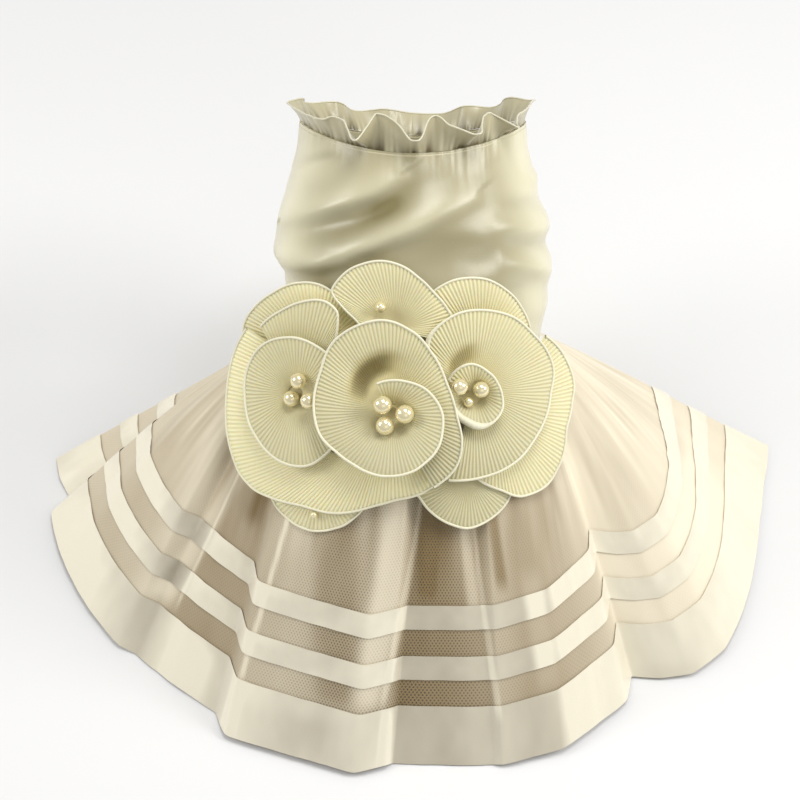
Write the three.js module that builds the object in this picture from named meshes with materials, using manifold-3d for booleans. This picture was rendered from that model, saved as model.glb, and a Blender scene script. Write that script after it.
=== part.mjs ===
import * as THREE from "three";
import Module from "manifold-3d";

// Dog dress in its worn form, in millimetres, +Z up.
// The origin is the centre of the waist ring, on the axis of the wearer's body.
// The body axis rises towards +Y and +Z; the hem lies level on the floor plane below.

// Body axis and general sizes
const BODY_TILT_DEG = 50;
const BODICE_LENGTH = 81;
const NECK_SCOOP = 9;
const NECK_SHIFT = 1.1;
const BODICE_HALF_WIDTH = 56.5;
const BODICE_HALF_DEPTH = 61;
const BODICE_WALL = 1.5;
const LEG_HOLE_RADIUS = 18;
const LEG_HOLE_ANGLE = 124;
const LEG_HOLE_HEIGHT = 50;

// Neck frill
const RUFFLE_HEIGHT = 15;
const RUFFLE_WALL = 1.1;
const RUFFLE_THROW = 12;

// Skirt
const HEM_RADIUS = 158;
const HEM_CENTRE_X = 1;
const HEM_CENTRE_Y = 5;
const HEM_Z = -85;
const WAIST_CLEARANCE = 1.5;
const NET_WALL = 1.0;
const RIBBON_WALL = 1.0;
const HEM_RIBBON_WIDTH = 25;
const NARROW_RIBBON_WIDTH = 10;
const RIBBON_SPACING = 11;

// Flowers: the blend is where the cluster surface leaves the bodice for the skirt, in flower radii
const PETAL_WALL = 1.0;
const FLOWER_RADIUS = 36;
const CLUSTER_CLEARANCE = 2;
const CLUSTER_SKIRT_CLEARANCE = 10;
const CLUSTER_SAG = 0.328;
const LOWEST_PETAL_SHARE = 0.36;
const CLUSTER_BLEND_START = 0.167;
const CLUSTER_BLEND_LENGTH = 1.278;
const PEARL_DROP_HEIGHT = 0.72;
const WOUND_STEP_DEG = 15;
const RING_STEP_DEG = 9;
const FAN_STEP_DEG = 14;
const PEARL_RADIUS = 3.6;
const SIDE_PEARL_RADIUS = 3.15;
const SMALL_PEARL_RADIUS = 2;
const TOP_BEAD_RADIUS = 2.1;
const BOTTOM_BEAD_RADIUS = 1.3;

// Common gap between neighbouring pieces
const GAP = 0.3;

const RAD = Math.PI / 180;
const AXIS = new THREE.Vector3(0, Math.cos(BODY_TILT_DEG * RAD), Math.sin(BODY_TILT_DEG * RAD));
const BACK = new THREE.Vector3(0, -Math.sin(BODY_TILT_DEG * RAD), Math.cos(BODY_TILT_DEG * RAD));
const SIDE = new THREE.Vector3(1, 0, 0);

// Bodice sections from waist to neck: height and half sizes as shares of the named sizes
const BODICE_SECTIONS = [
  { height: -0.065, width: 0.945, back: 0.955, belly: 0.93 },
  { height: 0.0, width: 0.94, back: 0.955, belly: 0.94 },
  { height: 0.1, width: 0.965, back: 0.965, belly: 0.96 },
  { height: 0.2, width: 1.0, back: 0.985, belly: 0.985 },
  { height: 0.3, width: 0.985, back: 1.0, belly: 1.0 },
  { height: 0.4, width: 1.015, back: 1.005, belly: 1.0 },
  { height: 0.5, width: 0.975, back: 0.99, belly: 0.99 },
  { height: 0.6, width: 0.96, back: 0.97, belly: 0.96 },
  { height: 0.7, width: 0.91, back: 0.935, belly: 0.92 },
  { height: 0.8, width: 0.865, back: 0.895, belly: 0.88 },
  { height: 0.9, width: 0.825, back: 0.85, belly: 0.83 },
  { height: 1.0, width: 0.81, back: 0.8, belly: 0.79 },
];

// Bodice folds: soft ridges (raised) and hollows (sunk) running from one point to another.
// Angles are degrees round the body from the back centre, heights are shares of the bodice length.
const BODICE_FOLDS = [
  { fromAngle: -64, fromHeight: 0.6, toAngle: -9, toHeight: 0.88, rise: 3, spread: 7 },
  { fromAngle: -74, fromHeight: 0.43, toAngle: -27, toHeight: 0.53, rise: 2.8, spread: 6.5 },
  { fromAngle: -27, fromHeight: 0.53, toAngle: 26, toHeight: 0.78, rise: 2.8, spread: 6.5 },
  { fromAngle: -44, fromHeight: 0.58, toAngle: -6, toHeight: 0.79, rise: -1.6, spread: 5 },
  { fromAngle: -5, fromHeight: 0.5, toAngle: 37, toHeight: 0.47, rise: -1.6, spread: 9 },
  { fromAngle: 40, fromHeight: 0.62, toAngle: 94, toHeight: 0.54, rise: 2, spread: 4.5 },
  { fromAngle: 42, fromHeight: 0.46, toAngle: 94, toHeight: 0.32, rise: 2.2, spread: 4.5 },
  { fromAngle: 48, fromHeight: 0.7, toAngle: 94, toHeight: 0.65, rise: -1.2, spread: 3.5 },
  { fromAngle: 46, fromHeight: 0.51, toAngle: 94, toHeight: 0.45, rise: -1.4, spread: 4 },
  { fromAngle: 12, fromHeight: 0.86, toAngle: 40, toHeight: 0.96, rise: 0.8, spread: 4 },
  { fromAngle: -120, fromHeight: 0.3, toAngle: -64, toHeight: 0.33, rise: -4.5, spread: 9 },
  { fromAngle: 128, fromHeight: 0.28, toAngle: 170, toHeight: 0.2, rise: 1, spread: 5 },
  { fromAngle: -128, fromHeight: 0.28, toAngle: -170, toHeight: 0.2, rise: 1, spread: 5 },
];

// Frill waves round the neck: angle of each crest or valley, outward throw and height, as shares
const RUFFLE_WAVES = [
  { angle: -180, lean: 0.45, height: 0.6 },
  { angle: -166, lean: 0.1, height: 0.7 },
  { angle: -152, lean: 0.55, height: 0.55 },
  { angle: -138, lean: 0.15, height: 0.7 },
  { angle: -122, lean: 0.6, height: 0.55 },
  { angle: -108, lean: 0.2, height: 0.6 },
  { angle: -92, lean: 0.45, height: 0.5 },
  { angle: -74, lean: 0.3, height: 0.42 },
  { angle: -56, lean: 0.3, height: 0.45 },
  { angle: -45, lean: 0.4, height: 0.5 },
  { angle: -39, lean: 0.25, height: 0.64 },
  { angle: -33.8, lean: 0.3, height: 0.63 },
  { angle: -28.5, lean: 0.6, height: 0.44 },
  { angle: -24.5, lean: 0.95, height: 0.27 },
  { angle: -22.3, lean: 1, height: 0.25 },
  { angle: -21, lean: 0.75, height: 0.45 },
  { angle: -19.8, lean: 0.35, height: 0.7 },
  { angle: -18.2, lean: 0.12, height: 0.93 },
  { angle: -14.5, lean: 0.15, height: 0.92 },
  { angle: -9, lean: 0.3, height: 0.81 },
  { angle: -5.5, lean: 0.5, height: 0.66 },
  { angle: -3, lean: 0.75, height: 0.48 },
  { angle: -0.8, lean: 0.95, height: 0.36 },
  { angle: 1.6, lean: 1, height: 0.36 },
  { angle: 3.7, lean: 0.8, height: 0.5 },
  { angle: 5.4, lean: 0.45, height: 0.73 },
  { angle: 7.4, lean: 0.2, height: 0.87 },
  { angle: 10.4, lean: 0.1, height: 0.92 },
  { angle: 13.2, lean: 0.15, height: 0.83 },
  { angle: 15.4, lean: 0.35, height: 0.68 },
  { angle: 19, lean: 0.55, height: 0.57 },
  { angle: 22.2, lean: 0.75, height: 0.46 },
  { angle: 24.8, lean: 0.9, height: 0.38 },
  { angle: 26.6, lean: 0.95, height: 0.39 },
  { angle: 29.8, lean: 0.6, height: 0.54 },
  { angle: 33.6, lean: 0.25, height: 0.7 },
  { angle: 38.2, lean: 0.1, height: 0.74 },
  { angle: 42.4, lean: 0.15, height: 0.62 },
  { angle: 44.6, lean: 0.35, height: 0.48 },
  { angle: 46.2, lean: 0.7, height: 0.32 },
  { angle: 48, lean: 0.8, height: 0.26 },
  { angle: 51.5, lean: 0.5, height: 0.32 },
  { angle: 60, lean: 0.25, height: 0.45 },
  { angle: 80, lean: 0.2, height: 0.5 },
  { angle: 94, lean: 0.35, height: 0.55 },
  { angle: 108, lean: 0.6, height: 0.55 },
  { angle: 122, lean: 0.15, height: 0.7 },
  { angle: 138, lean: 0.55, height: 0.55 },
  { angle: 152, lean: 0.15, height: 0.7 },
  { angle: 166, lean: 0.55, height: 0.55 },
];

// Skirt fold lines from the left front edge round the back to the right front edge.
// waist and hem are angles from the back centre, reach is the hem radius as a share,
// lift is how far the pleat stands off the skirt halfway down and swell how far the skirt
// bows out between waist and hem, both in mm.
const SKIRT_FOLDS = [
  { waist: -114, hem: -88.5, reach: 1.01, lift: 0, swell: -1 },
  { waist: -108, hem: -84.5, reach: 0.995, lift: 1, swell: -1 },
  { waist: -102, hem: -80.5, reach: 0.975, lift: -2, swell: 3 },
  { waist: -97, hem: -77.8, reach: 1.02, lift: 3, swell: 3 },
  { waist: -91, hem: -72.5, reach: 1.015, lift: 5, swell: 3 },
  { waist: -84, hem: -67.5, reach: 1.012, lift: 5, swell: 6 },
  { waist: -78, hem: -62.0, reach: 1.01, lift: 4, swell: 6 },
  { waist: -72, hem: -56.0, reach: 1.006, lift: 3, swell: 6 },
  { waist: -67, hem: -50.6, reach: 1.004, lift: 2, swell: 6 },
  { waist: -63, hem: -47.6, reach: 0.992, lift: -3, swell: 4 },
  { waist: -60, hem: -43.0, reach: 0.985, lift: -2, swell: 4 },
  { waist: -53, hem: -37.0, reach: 0.98, lift: -1, swell: 4 },
  { waist: -45, hem: -31.2, reach: 0.985, lift: -3, swell: 4 },
  { waist: -41, hem: -27.8, reach: 1.02, lift: 4, swell: 4 },
  { waist: -30, hem: -21.5, reach: 1.007, lift: 4.5, swell: 4 },
  { waist: -18, hem: -15.0, reach: 1.006, lift: 4.5, swell: 4 },
  { waist: -4, hem: -8.4, reach: 1.018, lift: 4.5, swell: 4 },
  { waist: 3, hem: -4.2, reach: 0.99, lift: 4, swell: 4 },
  { waist: 7, hem: -3.0, reach: 0.988, lift: -3, swell: 4 },
  { waist: 14, hem: 4.0, reach: 0.993, lift: -2.5, swell: 4 },
  { waist: 22, hem: 11.8, reach: 1.012, lift: -3, swell: 4 },
  { waist: 26, hem: 13.0, reach: 1.012, lift: 2.5, swell: 4 },
  { waist: 36, hem: 17.5, reach: 1.009, lift: 4, swell: 4 },
  { waist: 46, hem: 21.8, reach: 1.012, lift: 5, swell: 4 },
  { waist: 50, hem: 28.5, reach: 0.987, lift: 4.5, swell: 4 },
  { waist: 54, hem: 34.6, reach: 0.974, lift: 4, swell: 4 },
  { waist: 58, hem: 37.0, reach: 0.922, lift: -4, swell: 4 },
  { waist: 64, hem: 41.2, reach: 0.985, lift: 0, swell: 4 },
  { waist: 69, hem: 45.2, reach: 1.028, lift: 3, swell: 4 },
  { waist: 74, hem: 51.3, reach: 1.043, lift: 5, swell: 6 },
  { waist: 80, hem: 57.0, reach: 1.03, lift: 5, swell: 6 },
  { waist: 86, hem: 63.0, reach: 1.015, lift: 4, swell: 6 },
  { waist: 92, hem: 69.0, reach: 1.0, lift: 3, swell: 5 },
  { waist: 98, hem: 76.0, reach: 0.99, lift: 2, swell: 4 },
  { waist: 104, hem: 83.0, reach: 0.995, lift: 1, swell: 3 },
  { waist: 110, hem: 87.5, reach: 1.01, lift: 0.5, swell: 2 },
  { waist: 115, hem: 91, reach: 1.02, lift: 0, swell: 1 },
];

// Rosettes: one pleated ribbon wound round a centre. angle runs clockwise as seen from the back
// (0 is towards +X, 90 towards the hem), reach is the rim radius, and rim and base are heights of
// the outer and inner edge over the cluster surface, all as shares of FLOWER_RADIUS.
const CENTRE_MIDDLE = { x: -0.211, s: -0.422 };
const LEFT_MIDDLE = { x: -1.222, s: -0.306 };
const RIGHT_MIDDLE = { x: 0.681, s: -0.264 };
const FLOWER_CENTRE_TURNS = [
  { angle: -115, reach: 0.36, rim: 0.4306, base: 0.1278 },
  { angle: -75, reach: 0.39, rim: 0.4722, base: 0.125 },
  { angle: -35, reach: 0.47, rim: 0.4861, base: 0.1194 },
  { angle: 3, reach: 0.545, rim: 0.4861, base: 0.1167 },
  { angle: 34, reach: 0.575, rim: 0.4861, base: 0.1139 },
  { angle: 60, reach: 0.58, rim: 0.4861, base: 0.1083 },
  { angle: 90, reach: 0.6, rim: 0.4722, base: 0.1056 },
  { angle: 120, reach: 0.625, rim: 0.4583, base: 0.1 },
  { angle: 145, reach: 0.69, rim: 0.4583, base: 0.0972 },
  { angle: 166, reach: 0.785, rim: 0.4583, base: 0.0944 },
  { angle: 187, reach: 0.82, rim: 0.4583, base: 0.0917 },
  { angle: 208, reach: 0.85, rim: 0.4583, base: 0.0889 },
  { angle: 235, reach: 0.975, rim: 0.4444, base: 0.0861 },
  { angle: 260, reach: 1, rim: 0.4167, base: 0.0833 },
  { angle: 285, reach: 0.9, rim: 0.3889, base: 0.0778 },
  { angle: 306, reach: 0.76, rim: 0.3611, base: 0.075 },
  { angle: 335, reach: 0.67, rim: 0.3556, base: 0.0694 },
  { angle: 360, reach: 0.69, rim: 0.35, base: 0.0667 },
  { angle: 380, reach: 0.79, rim: 0.3389, base: 0.0639 },
  { angle: 401, reach: 0.88, rim: 0.3167, base: 0.0583 },
  { angle: 420, reach: 0.9, rim: 0.2944, base: 0.0556 },
];

const FLOWER_LEFT_TURNS = [
  { angle: 30, reach: 0.46, rim: 0.2667, base: 0.1 },
  { angle: 0, reach: 0.5, rim: 0.2722, base: 0.0972 },
  { angle: -35, reach: 0.56, rim: 0.2833, base: 0.0917 },
  { angle: -65, reach: 0.6, rim: 0.3056, base: 0.0889 },
  { angle: -95, reach: 0.64, rim: 0.3194, base: 0.0833 },
  { angle: -125, reach: 0.63, rim: 0.3194, base: 0.0806 },
  { angle: -155, reach: 0.6, rim: 0.3194, base: 0.0778 },
  { angle: -187, reach: 0.58, rim: 0.3194, base: 0.0722 },
  { angle: -215, reach: 0.62, rim: 0.3194, base: 0.0694 },
  { angle: -245, reach: 0.69, rim: 0.3056, base: 0.0639 },
  { angle: -275, reach: 0.72, rim: 0.2833, base: 0.0611 },
  { angle: -300, reach: 0.66, rim: 0.2389, base: 0.0556 },
  { angle: -325, reach: 0.6, rim: 0.2111, base: 0.0528 },
  { angle: -360, reach: 0.62, rim: 0.1889, base: 0.05 },
  { angle: -395, reach: 0.58, rim: 0.1944, base: 0.0444 },
  { angle: -412, reach: 0.66, rim: 0.2, base: 0.0433 },
  { angle: -419, reach: 0.86, rim: 0.2111, base: 0.0428 },
  { angle: -425, reach: 1.03, rim: 0.2111, base: 0.0417 },
  { angle: -433, reach: 1.07, rim: 0.2111, base: 0.0403 },
  { angle: -447, reach: 1, rim: 0.2083, base: 0.0375 },
  { angle: -462, reach: 0.9, rim: 0.2028, base: 0.0347 },
  { angle: -480, reach: 0.8, rim: 0.1944, base: 0.0333 },
];

const FLOWER_RIGHT_TURNS = [
  { angle: -150, reach: 0.33, rim: 0.2556, base: 0.1222 },
  { angle: -105, reach: 0.345, rim: 0.3194, base: 0.1194 },
  { angle: -60, reach: 0.28, rim: 0.3333, base: 0.1139 },
  { angle: -30, reach: 0.27, rim: 0.3333, base: 0.1111 },
  { angle: 0, reach: 0.29, rim: 0.3333, base: 0.1056 },
  { angle: 35, reach: 0.33, rim: 0.3333, base: 0.1028 },
  { angle: 70, reach: 0.335, rim: 0.3167, base: 0.1 },
  { angle: 110, reach: 0.28, rim: 0.2833, base: 0.0944 },
  { angle: 150, reach: 0.27, rim: 0.2333, base: 0.0917 },
  { angle: 180, reach: 0.36, rim: 0.2222, base: 0.0861 },
  { angle: 205, reach: 0.5, rim: 0.2056, base: 0.0833 },
  { angle: 235, reach: 0.8, rim: 0.2278, base: 0.0806 },
  { angle: 265, reach: 0.89, rim: 0.25, base: 0.075 },
  { angle: 292, reach: 0.9, rim: 0.2556, base: 0.0722 },
  { angle: 322, reach: 0.87, rim: 0.2556, base: 0.0667 },
  { angle: 345, reach: 0.88, rim: 0.2556, base: 0.0639 },
  { angle: 367, reach: 0.84, rim: 0.25, base: 0.0611 },
  { angle: 395, reach: 0.84, rim: 0.2444, base: 0.0556 },
  { angle: 422, reach: 0.86, rim: 0.2333, base: 0.0528 },
  { angle: 446, reach: 0.88, rim: 0.2111, base: 0.0472 },
  { angle: 468, reach: 0.93, rim: 0.1889, base: 0.0444 },
];

// Big lower ring and back fans: rim radius by angle round their own centre, x across and s along the
// body, all as shares of FLOWER_RADIUS
const RING_RIM_HEIGHT = 0.128;
const RING_BASE_HEIGHT = 0.089;
const RING_RIM = [
  { angle: 206, reach: 1.74, inner: 1.42 },
  { angle: 194, reach: 1.79, inner: 1.36 },
  { angle: 180, reach: 1.815, inner: 1.26 },
  { angle: 165, reach: 1.86, inner: 1.1 },
  { angle: 155, reach: 1.88, inner: 0.96 },
  { angle: 148, reach: 1.81, inner: 0.84 },
  { angle: 141, reach: 1.64, inner: 0.74 },
  { angle: 132, reach: 1.44, inner: 0.62 },
  { angle: 122, reach: 1.31, inner: 0.56 },
  { angle: 111, reach: 1.16, inner: 0.5 },
  { angle: 98, reach: 1.01, inner: 0.48 },
  { angle: 84, reach: 0.94, inner: 0.46 },
  { angle: 70, reach: 0.93, inner: 0.46 },
  { angle: 57, reach: 0.9, inner: 0.48 },
  { angle: 49, reach: 0.92, inner: 0.5 },
];

const BACK_FANS = [
  {
    name: "petal_top", x: -0.1667, s: 0.4167, base: 0.0333, rim: 0.1444, inner: 0.12,
    rims: [
      { angle: 186, reach: 0.36 }, { angle: 195, reach: 0.44 }, { angle: 203, reach: 0.6 },
      { angle: 212, reach: 0.79 }, { angle: 222, reach: 0.8 }, { angle: 232, reach: 0.805 },
      { angle: 245, reach: 0.785 }, { angle: 259, reach: 0.76 }, { angle: 275, reach: 0.7 },
      { angle: 296, reach: 0.61 }, { angle: 318, reach: 0.58 }, { angle: 335, reach: 0.595 },
      { angle: 348, reach: 0.615 }, { angle: 360, reach: 0.55 }, { angle: 372, reach: 0.47 },
    ],
  },
  {
    name: "petal_top_left", x: -1.0278, s: 0.1389, base: 0.0222, rim: 0.0611, inner: 0.14,
    rims: [
      { angle: 172, reach: 0.82 }, { angle: 191, reach: 0.82 }, { angle: 200, reach: 0.815 },
      { angle: 208, reach: 0.8 }, { angle: 220, reach: 0.775 }, { angle: 234, reach: 0.755 },
      { angle: 249, reach: 0.755 }, { angle: 261, reach: 0.755 }, { angle: 273, reach: 0.735 },
      { angle: 285, reach: 0.695 }, { angle: 298, reach: 0.64 }, { angle: 312, reach: 0.6 },
      { angle: 326, reach: 0.59 },
    ],
  },
  {
    name: "petal_top_right", x: 0.75, s: 0.1944, base: 0.0194, rim: 0.0889, inner: 0.14,
    rims: [
      { angle: 227, reach: 0.8 }, { angle: 234, reach: 0.815 }, { angle: 244, reach: 0.81 },
      { angle: 257, reach: 0.785 }, { angle: 270, reach: 0.75 }, { angle: 287, reach: 0.69 },
      { angle: 305, reach: 0.635 }, { angle: 322, reach: 0.59 }, { angle: 341, reach: 0.565 },
    ],
  },
  {
    name: "petal_right", x: 0.8889, s: -0.4444, base: 0.0222, rim: 0.1361, inner: 0.2,
    rims: [
      { angle: -52, reach: 0.915 }, { angle: -42, reach: 0.92 },
      { angle: -25, reach: 0.925 }, { angle: -9, reach: 0.915 }, { angle: 3, reach: 0.88 },
      { angle: 18, reach: 0.87 }, { angle: 31, reach: 0.935 }, { angle: 44, reach: 1.015 },
      { angle: 57, reach: 1.08 }, { angle: 71, reach: 1.04 }, { angle: 85, reach: 0.885 },
      { angle: 101, reach: 0.765 }, { angle: 112, reach: 0.68 },
    ],
  },
  {
    name: "petal_bottom_left", x: -0.9722, s: -1.1806, base: 0.0278, rim: 0.0556, inner: 0.1,
    rims: [
      { angle: 178, reach: 0.6 }, { angle: 162, reach: 0.61 }, { angle: 150, reach: 0.62 },
      { angle: 136, reach: 0.625 }, { angle: 120, reach: 0.625 }, { angle: 104, reach: 0.61 },
      { angle: 88, reach: 0.595 }, { angle: 71, reach: 0.575 }, { angle: 55, reach: 0.555 },
      { angle: 39, reach: 0.55 }, { angle: 20, reach: 0.56 },
    ],
  },
  {
    name: "petal_bottom_right", x: 0.62, s: -1.16, base: 0.0278, rim: 0.0556, inner: 0.1,
    rims: [
      { angle: 178, reach: 0.6 }, { angle: 168, reach: 0.6 }, { angle: 157, reach: 0.565 },
      { angle: 139, reach: 0.55 }, { angle: 121, reach: 0.546 }, { angle: 105, reach: 0.558 },
      { angle: 90, reach: 0.57 }, { angle: 73, reach: 0.553 }, { angle: 55, reach: 0.543 },
      { angle: 38, reach: 0.538 }, { angle: 20, reach: 0.525 },
    ],
  },
];

// How far each flower piece sinks from its table heights until it rests on the piece below, as
// shares of FLOWER_RADIUS
const SEATING = {
  petal_bottom_left: 0.028,
  petal_bottom_right: 0.1163,
  petal_right: 0.1484,
  petal_top_right: 0.1205,
  petal_top_left: 0.1654,
  petal_top: 0.0895,
  petal_ring: 0.0425,
  flower_right: 0.1222,
  flower_left: 0.0543,
  flower_centre: 0.078,
};

// Pearls: place across (x) and along the body (s) as shares of FLOWER_RADIUS, radius, and the piece
// that each one rests on
const PEARLS = [
  { name: "pearl_centre_1", x: -0.3, s: -0.3111, r: PEARL_RADIUS, on: "flower_centre" },
  { name: "pearl_centre_2", x: -0.0667, s: -0.4056, r: PEARL_RADIUS, on: "flower_centre" },
  { name: "pearl_centre_3", x: -0.2722, s: -0.5389, r: PEARL_RADIUS, on: "flower_centre" },
  { name: "pearl_left_1", x: -1.2, s: -0.1389, r: SIDE_PEARL_RADIUS, on: "flower_left" },
  { name: "pearl_left_2", x: -1.2833, s: -0.35, r: SIDE_PEARL_RADIUS, on: "flower_left" },
  { name: "pearl_left_3", x: -1.0889, s: -0.3333, r: SIDE_PEARL_RADIUS, on: "flower_left" },
  { name: "pearl_right_1", x: 0.5167, s: -0.1556, r: SIDE_PEARL_RADIUS, on: "flower_right" },
  { name: "pearl_right_2", x: 0.7444, s: -0.2056, r: SIDE_PEARL_RADIUS, on: "flower_right" },
  { name: "pearl_right_small", x: 0.6111, s: -0.3389, r: SMALL_PEARL_RADIUS, on: "flower_right" },
  { name: "bead_top", x: -0.3194, s: 0.6667, r: TOP_BEAD_RADIUS, on: "petal_top" },
  { name: "bead_bottom", x: -1.0417, s: -1.5833, r: BOTTOM_BEAD_RADIUS, on: "petal_bottom_left" },
];

const wasm = await Module();
wasm.setup();

const group = new THREE.Group();
group.name = "dog_dress";

const COLOURS = {
  satin: 0xe9e2c6,
  ribbon: 0xf4efdc,
  net: 0xd9cfb8,
  organza: 0xefe9c9,
  pearl: 0xf3ead0,
  closure: 0xe6e0cc,
};

function smooth(q) {
  return q * q * (3 - 2 * q);
}

// Value of one named column of a table at a position, read straight between the rows
function readTable(rows, key, column, at) {
  if (at <= rows[0][key]) return rows[0][column];
  for (let i = 1; i < rows.length; i++) {
    if (at <= rows[i][key]) {
      const q = (at - rows[i - 1][key]) / (rows[i][key] - rows[i - 1][key]);
      return rows[i - 1][column] + (rows[i][column] - rows[i - 1][column]) * q;
    }
  }
  return rows[rows.length - 1][column];
}

// Point at x across, s along the body axis and h out of the back
function bodyPoint(x, s, h) {
  return new THREE.Vector3()
    .addScaledVector(SIDE, x)
    .addScaledVector(AXIS, s)
    .addScaledVector(BACK, h);
}

// Closed wall between an outer and an inner grid of points, both [row][column];
// closedRing joins the last column to the first
function wallFromGrids(outer, inner, closedRing) {
  const rows = outer.length;
  const cols = outer[0].length;
  const points = [];
  for (const grid of [outer, inner]) {
    for (let r = 0; r < rows; r++) {
      for (let c = 0; c < cols; c++) points.push(grid[r][c]);
    }
  }
  const index = (side, r, c) => side * rows * cols + r * cols + (c % cols);
  const faces = [];
  const quad = (a, b, c, d) => {
    faces.push([a, b, c], [a, c, d]);
  };
  const span = closedRing ? cols : cols - 1;
  for (let r = 0; r < rows - 1; r++) {
    for (let c = 0; c < span; c++) {
      quad(index(0, r, c), index(0, r, c + 1), index(0, r + 1, c + 1), index(0, r + 1, c));
      quad(index(1, r, c), index(1, r + 1, c), index(1, r + 1, c + 1), index(1, r, c + 1));
    }
  }
  for (let c = 0; c < span; c++) {
    quad(index(1, 0, c), index(1, 0, c + 1), index(0, 0, c + 1), index(0, 0, c));
    const top = rows - 1;
    quad(index(0, top, c), index(0, top, c + 1), index(1, top, c + 1), index(1, top, c));
  }
  if (!closedRing) {
    const last = cols - 1;
    for (let r = 0; r < rows - 1; r++) {
      quad(index(0, r, 0), index(0, r + 1, 0), index(1, r + 1, 0), index(1, r, 0));
      quad(index(0, r, last), index(1, r, last), index(1, r + 1, last), index(0, r + 1, last));
    }
  }
  return meshFromFaces(points, faces);
}

function meshFromFaces(points, faces) {
  let volume = 0;
  for (const [a, b, c] of faces) {
    volume += points[a].dot(new THREE.Vector3().crossVectors(points[b], points[c]));
  }
  const ordered = volume < 0 ? faces.map(([a, b, c]) => [a, c, b]) : faces;
  const geometry = new THREE.BufferGeometry();
  const positions = points.flatMap((p) => [p.x, p.y, p.z]);
  geometry.setAttribute("position", new THREE.Float32BufferAttribute(positions, 3));
  geometry.setIndex(ordered.flat());
  return geometry;
}

// Facet-true normals of a grid: moving every corner by d times its normal shifts each facet by about d
function gridNormals(grid, closedRing) {
  const rows = grid.length;
  const cols = grid[0].length;
  const at = (r, c) => grid[r][closedRing ? (c + cols) % cols : c];
  const facet = (r, c) => {
    const along = new THREE.Vector3().subVectors(at(r + 1, c + 1), at(r, c));
    const across = new THREE.Vector3().subVectors(at(r, c + 1), at(r + 1, c));
    return new THREE.Vector3().crossVectors(across, along).normalize();
  };
  const normals = [];
  for (let r = 0; r < rows; r++) {
    const line = [];
    for (let c = 0; c < cols; c++) {
      const around = [];
      for (const dr of [-1, 0]) {
        for (const dc of [-1, 0]) {
          const rr = r + dr;
          const cc = c + dc;
          if (rr < 0 || rr >= rows - 1) continue;
          if (!closedRing && (cc < 0 || cc >= cols - 1)) continue;
          around.push(facet(rr, cc));
        }
      }
      const mean = new THREE.Vector3();
      for (const n of around) mean.add(n);
      mean.normalize();
      let least = 1;
      for (const n of around) least = Math.min(least, n.dot(mean));
      line.push(mean.multiplyScalar(1 / Math.max(least, 0.55)));
    }
    normals.push(line);
  }
  return normals;
}

function offsetGrid(grid, normals, distance) {
  return grid.map((line, r) => line.map((p, c) => p.clone().addScaledVector(normals[r][c], distance)));
}

function addPiece(name, geometry, colour) {
  const material = new THREE.MeshStandardMaterial({ color: colour, roughness: 0.6 });
  const mesh = new THREE.Mesh(geometry, material);
  mesh.name = name;
  group.add(mesh);
}

function toManifold(geometry) {
  const positions = geometry.getAttribute("position").array;
  return new wasm.Manifold(
    new wasm.Mesh({
      numProp: 3,
      vertProperties: new Float32Array(positions),
      triVerts: new Uint32Array(geometry.getIndex().array),
    })
  );
}

function fromManifold(solid) {
  const mesh = solid.getMesh();
  const geometry = new THREE.BufferGeometry();
  geometry.setAttribute("position", new THREE.BufferAttribute(new Float32Array(mesh.vertProperties), 3));
  geometry.setIndex(Array.from(mesh.triVerts));
  return geometry;
}

// Bodice: outward radius of the cloth at an angle round the body and a height share
function bodiceRelief(angle, height) {
  let rise = 0;
  const toMm = BODICE_HALF_WIDTH * RAD;
  const px = angle * toMm;
  const py = height * BODICE_LENGTH;
  for (const fold of BODICE_FOLDS) {
    const ax = fold.fromAngle * toMm;
    const ay = fold.fromHeight * BODICE_LENGTH;
    const dx = fold.toAngle * toMm - ax;
    const dy = fold.toHeight * BODICE_LENGTH - ay;
    const along = ((px - ax) * dx + (py - ay) * dy) / (dx * dx + dy * dy);
    const q = Math.min(1, Math.max(0, along));
    const away = Math.hypot(px - ax - dx * q, py - ay - dy * q);
    const taper = Math.sin(Math.PI * (0.12 + 0.76 * q));
    rise += fold.rise * taper * Math.exp(-((away / fold.spread) ** 2));
  }
  return rise;
}

function bodicePoint(angle, height, outward) {
  const width = readTable(BODICE_SECTIONS, "height", "width", height) * BODICE_HALF_WIDTH;
  const back = readTable(BODICE_SECTIONS, "height", "back", height) * BODICE_HALF_DEPTH;
  const belly = readTable(BODICE_SECTIONS, "height", "belly", height) * BODICE_HALF_DEPTH;
  const lean = Math.cos(angle * RAD);
  const depth = lean > 0 ? back : belly;
  const relief = bodiceRelief(angle, height) * smooth(Math.min(1, Math.max(0, (height - 0.1) / 0.15)));
  const grow = outward + relief;
  const x = (width + grow) * Math.sin(angle * RAD) + NECK_SHIFT * height;
  const length = BODICE_LENGTH + NECK_SCOOP * Math.sin(angle * RAD) ** 2;
  return bodyPoint(x, height * length, (depth + grow) * lean);
}

const BODICE_COLUMNS = 44;
const bodiceAngles = [];
for (let i = 0; i < BODICE_COLUMNS; i++) bodiceAngles.push(-180 + (360 * i) / BODICE_COLUMNS);
const bodiceHeights = BODICE_SECTIONS.map((section) => section.height);

function bodiceGrid(angles, heights, outward) {
  return heights.map((height) => angles.map((angle) => bodicePoint(angle, height, outward)));
}

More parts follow.
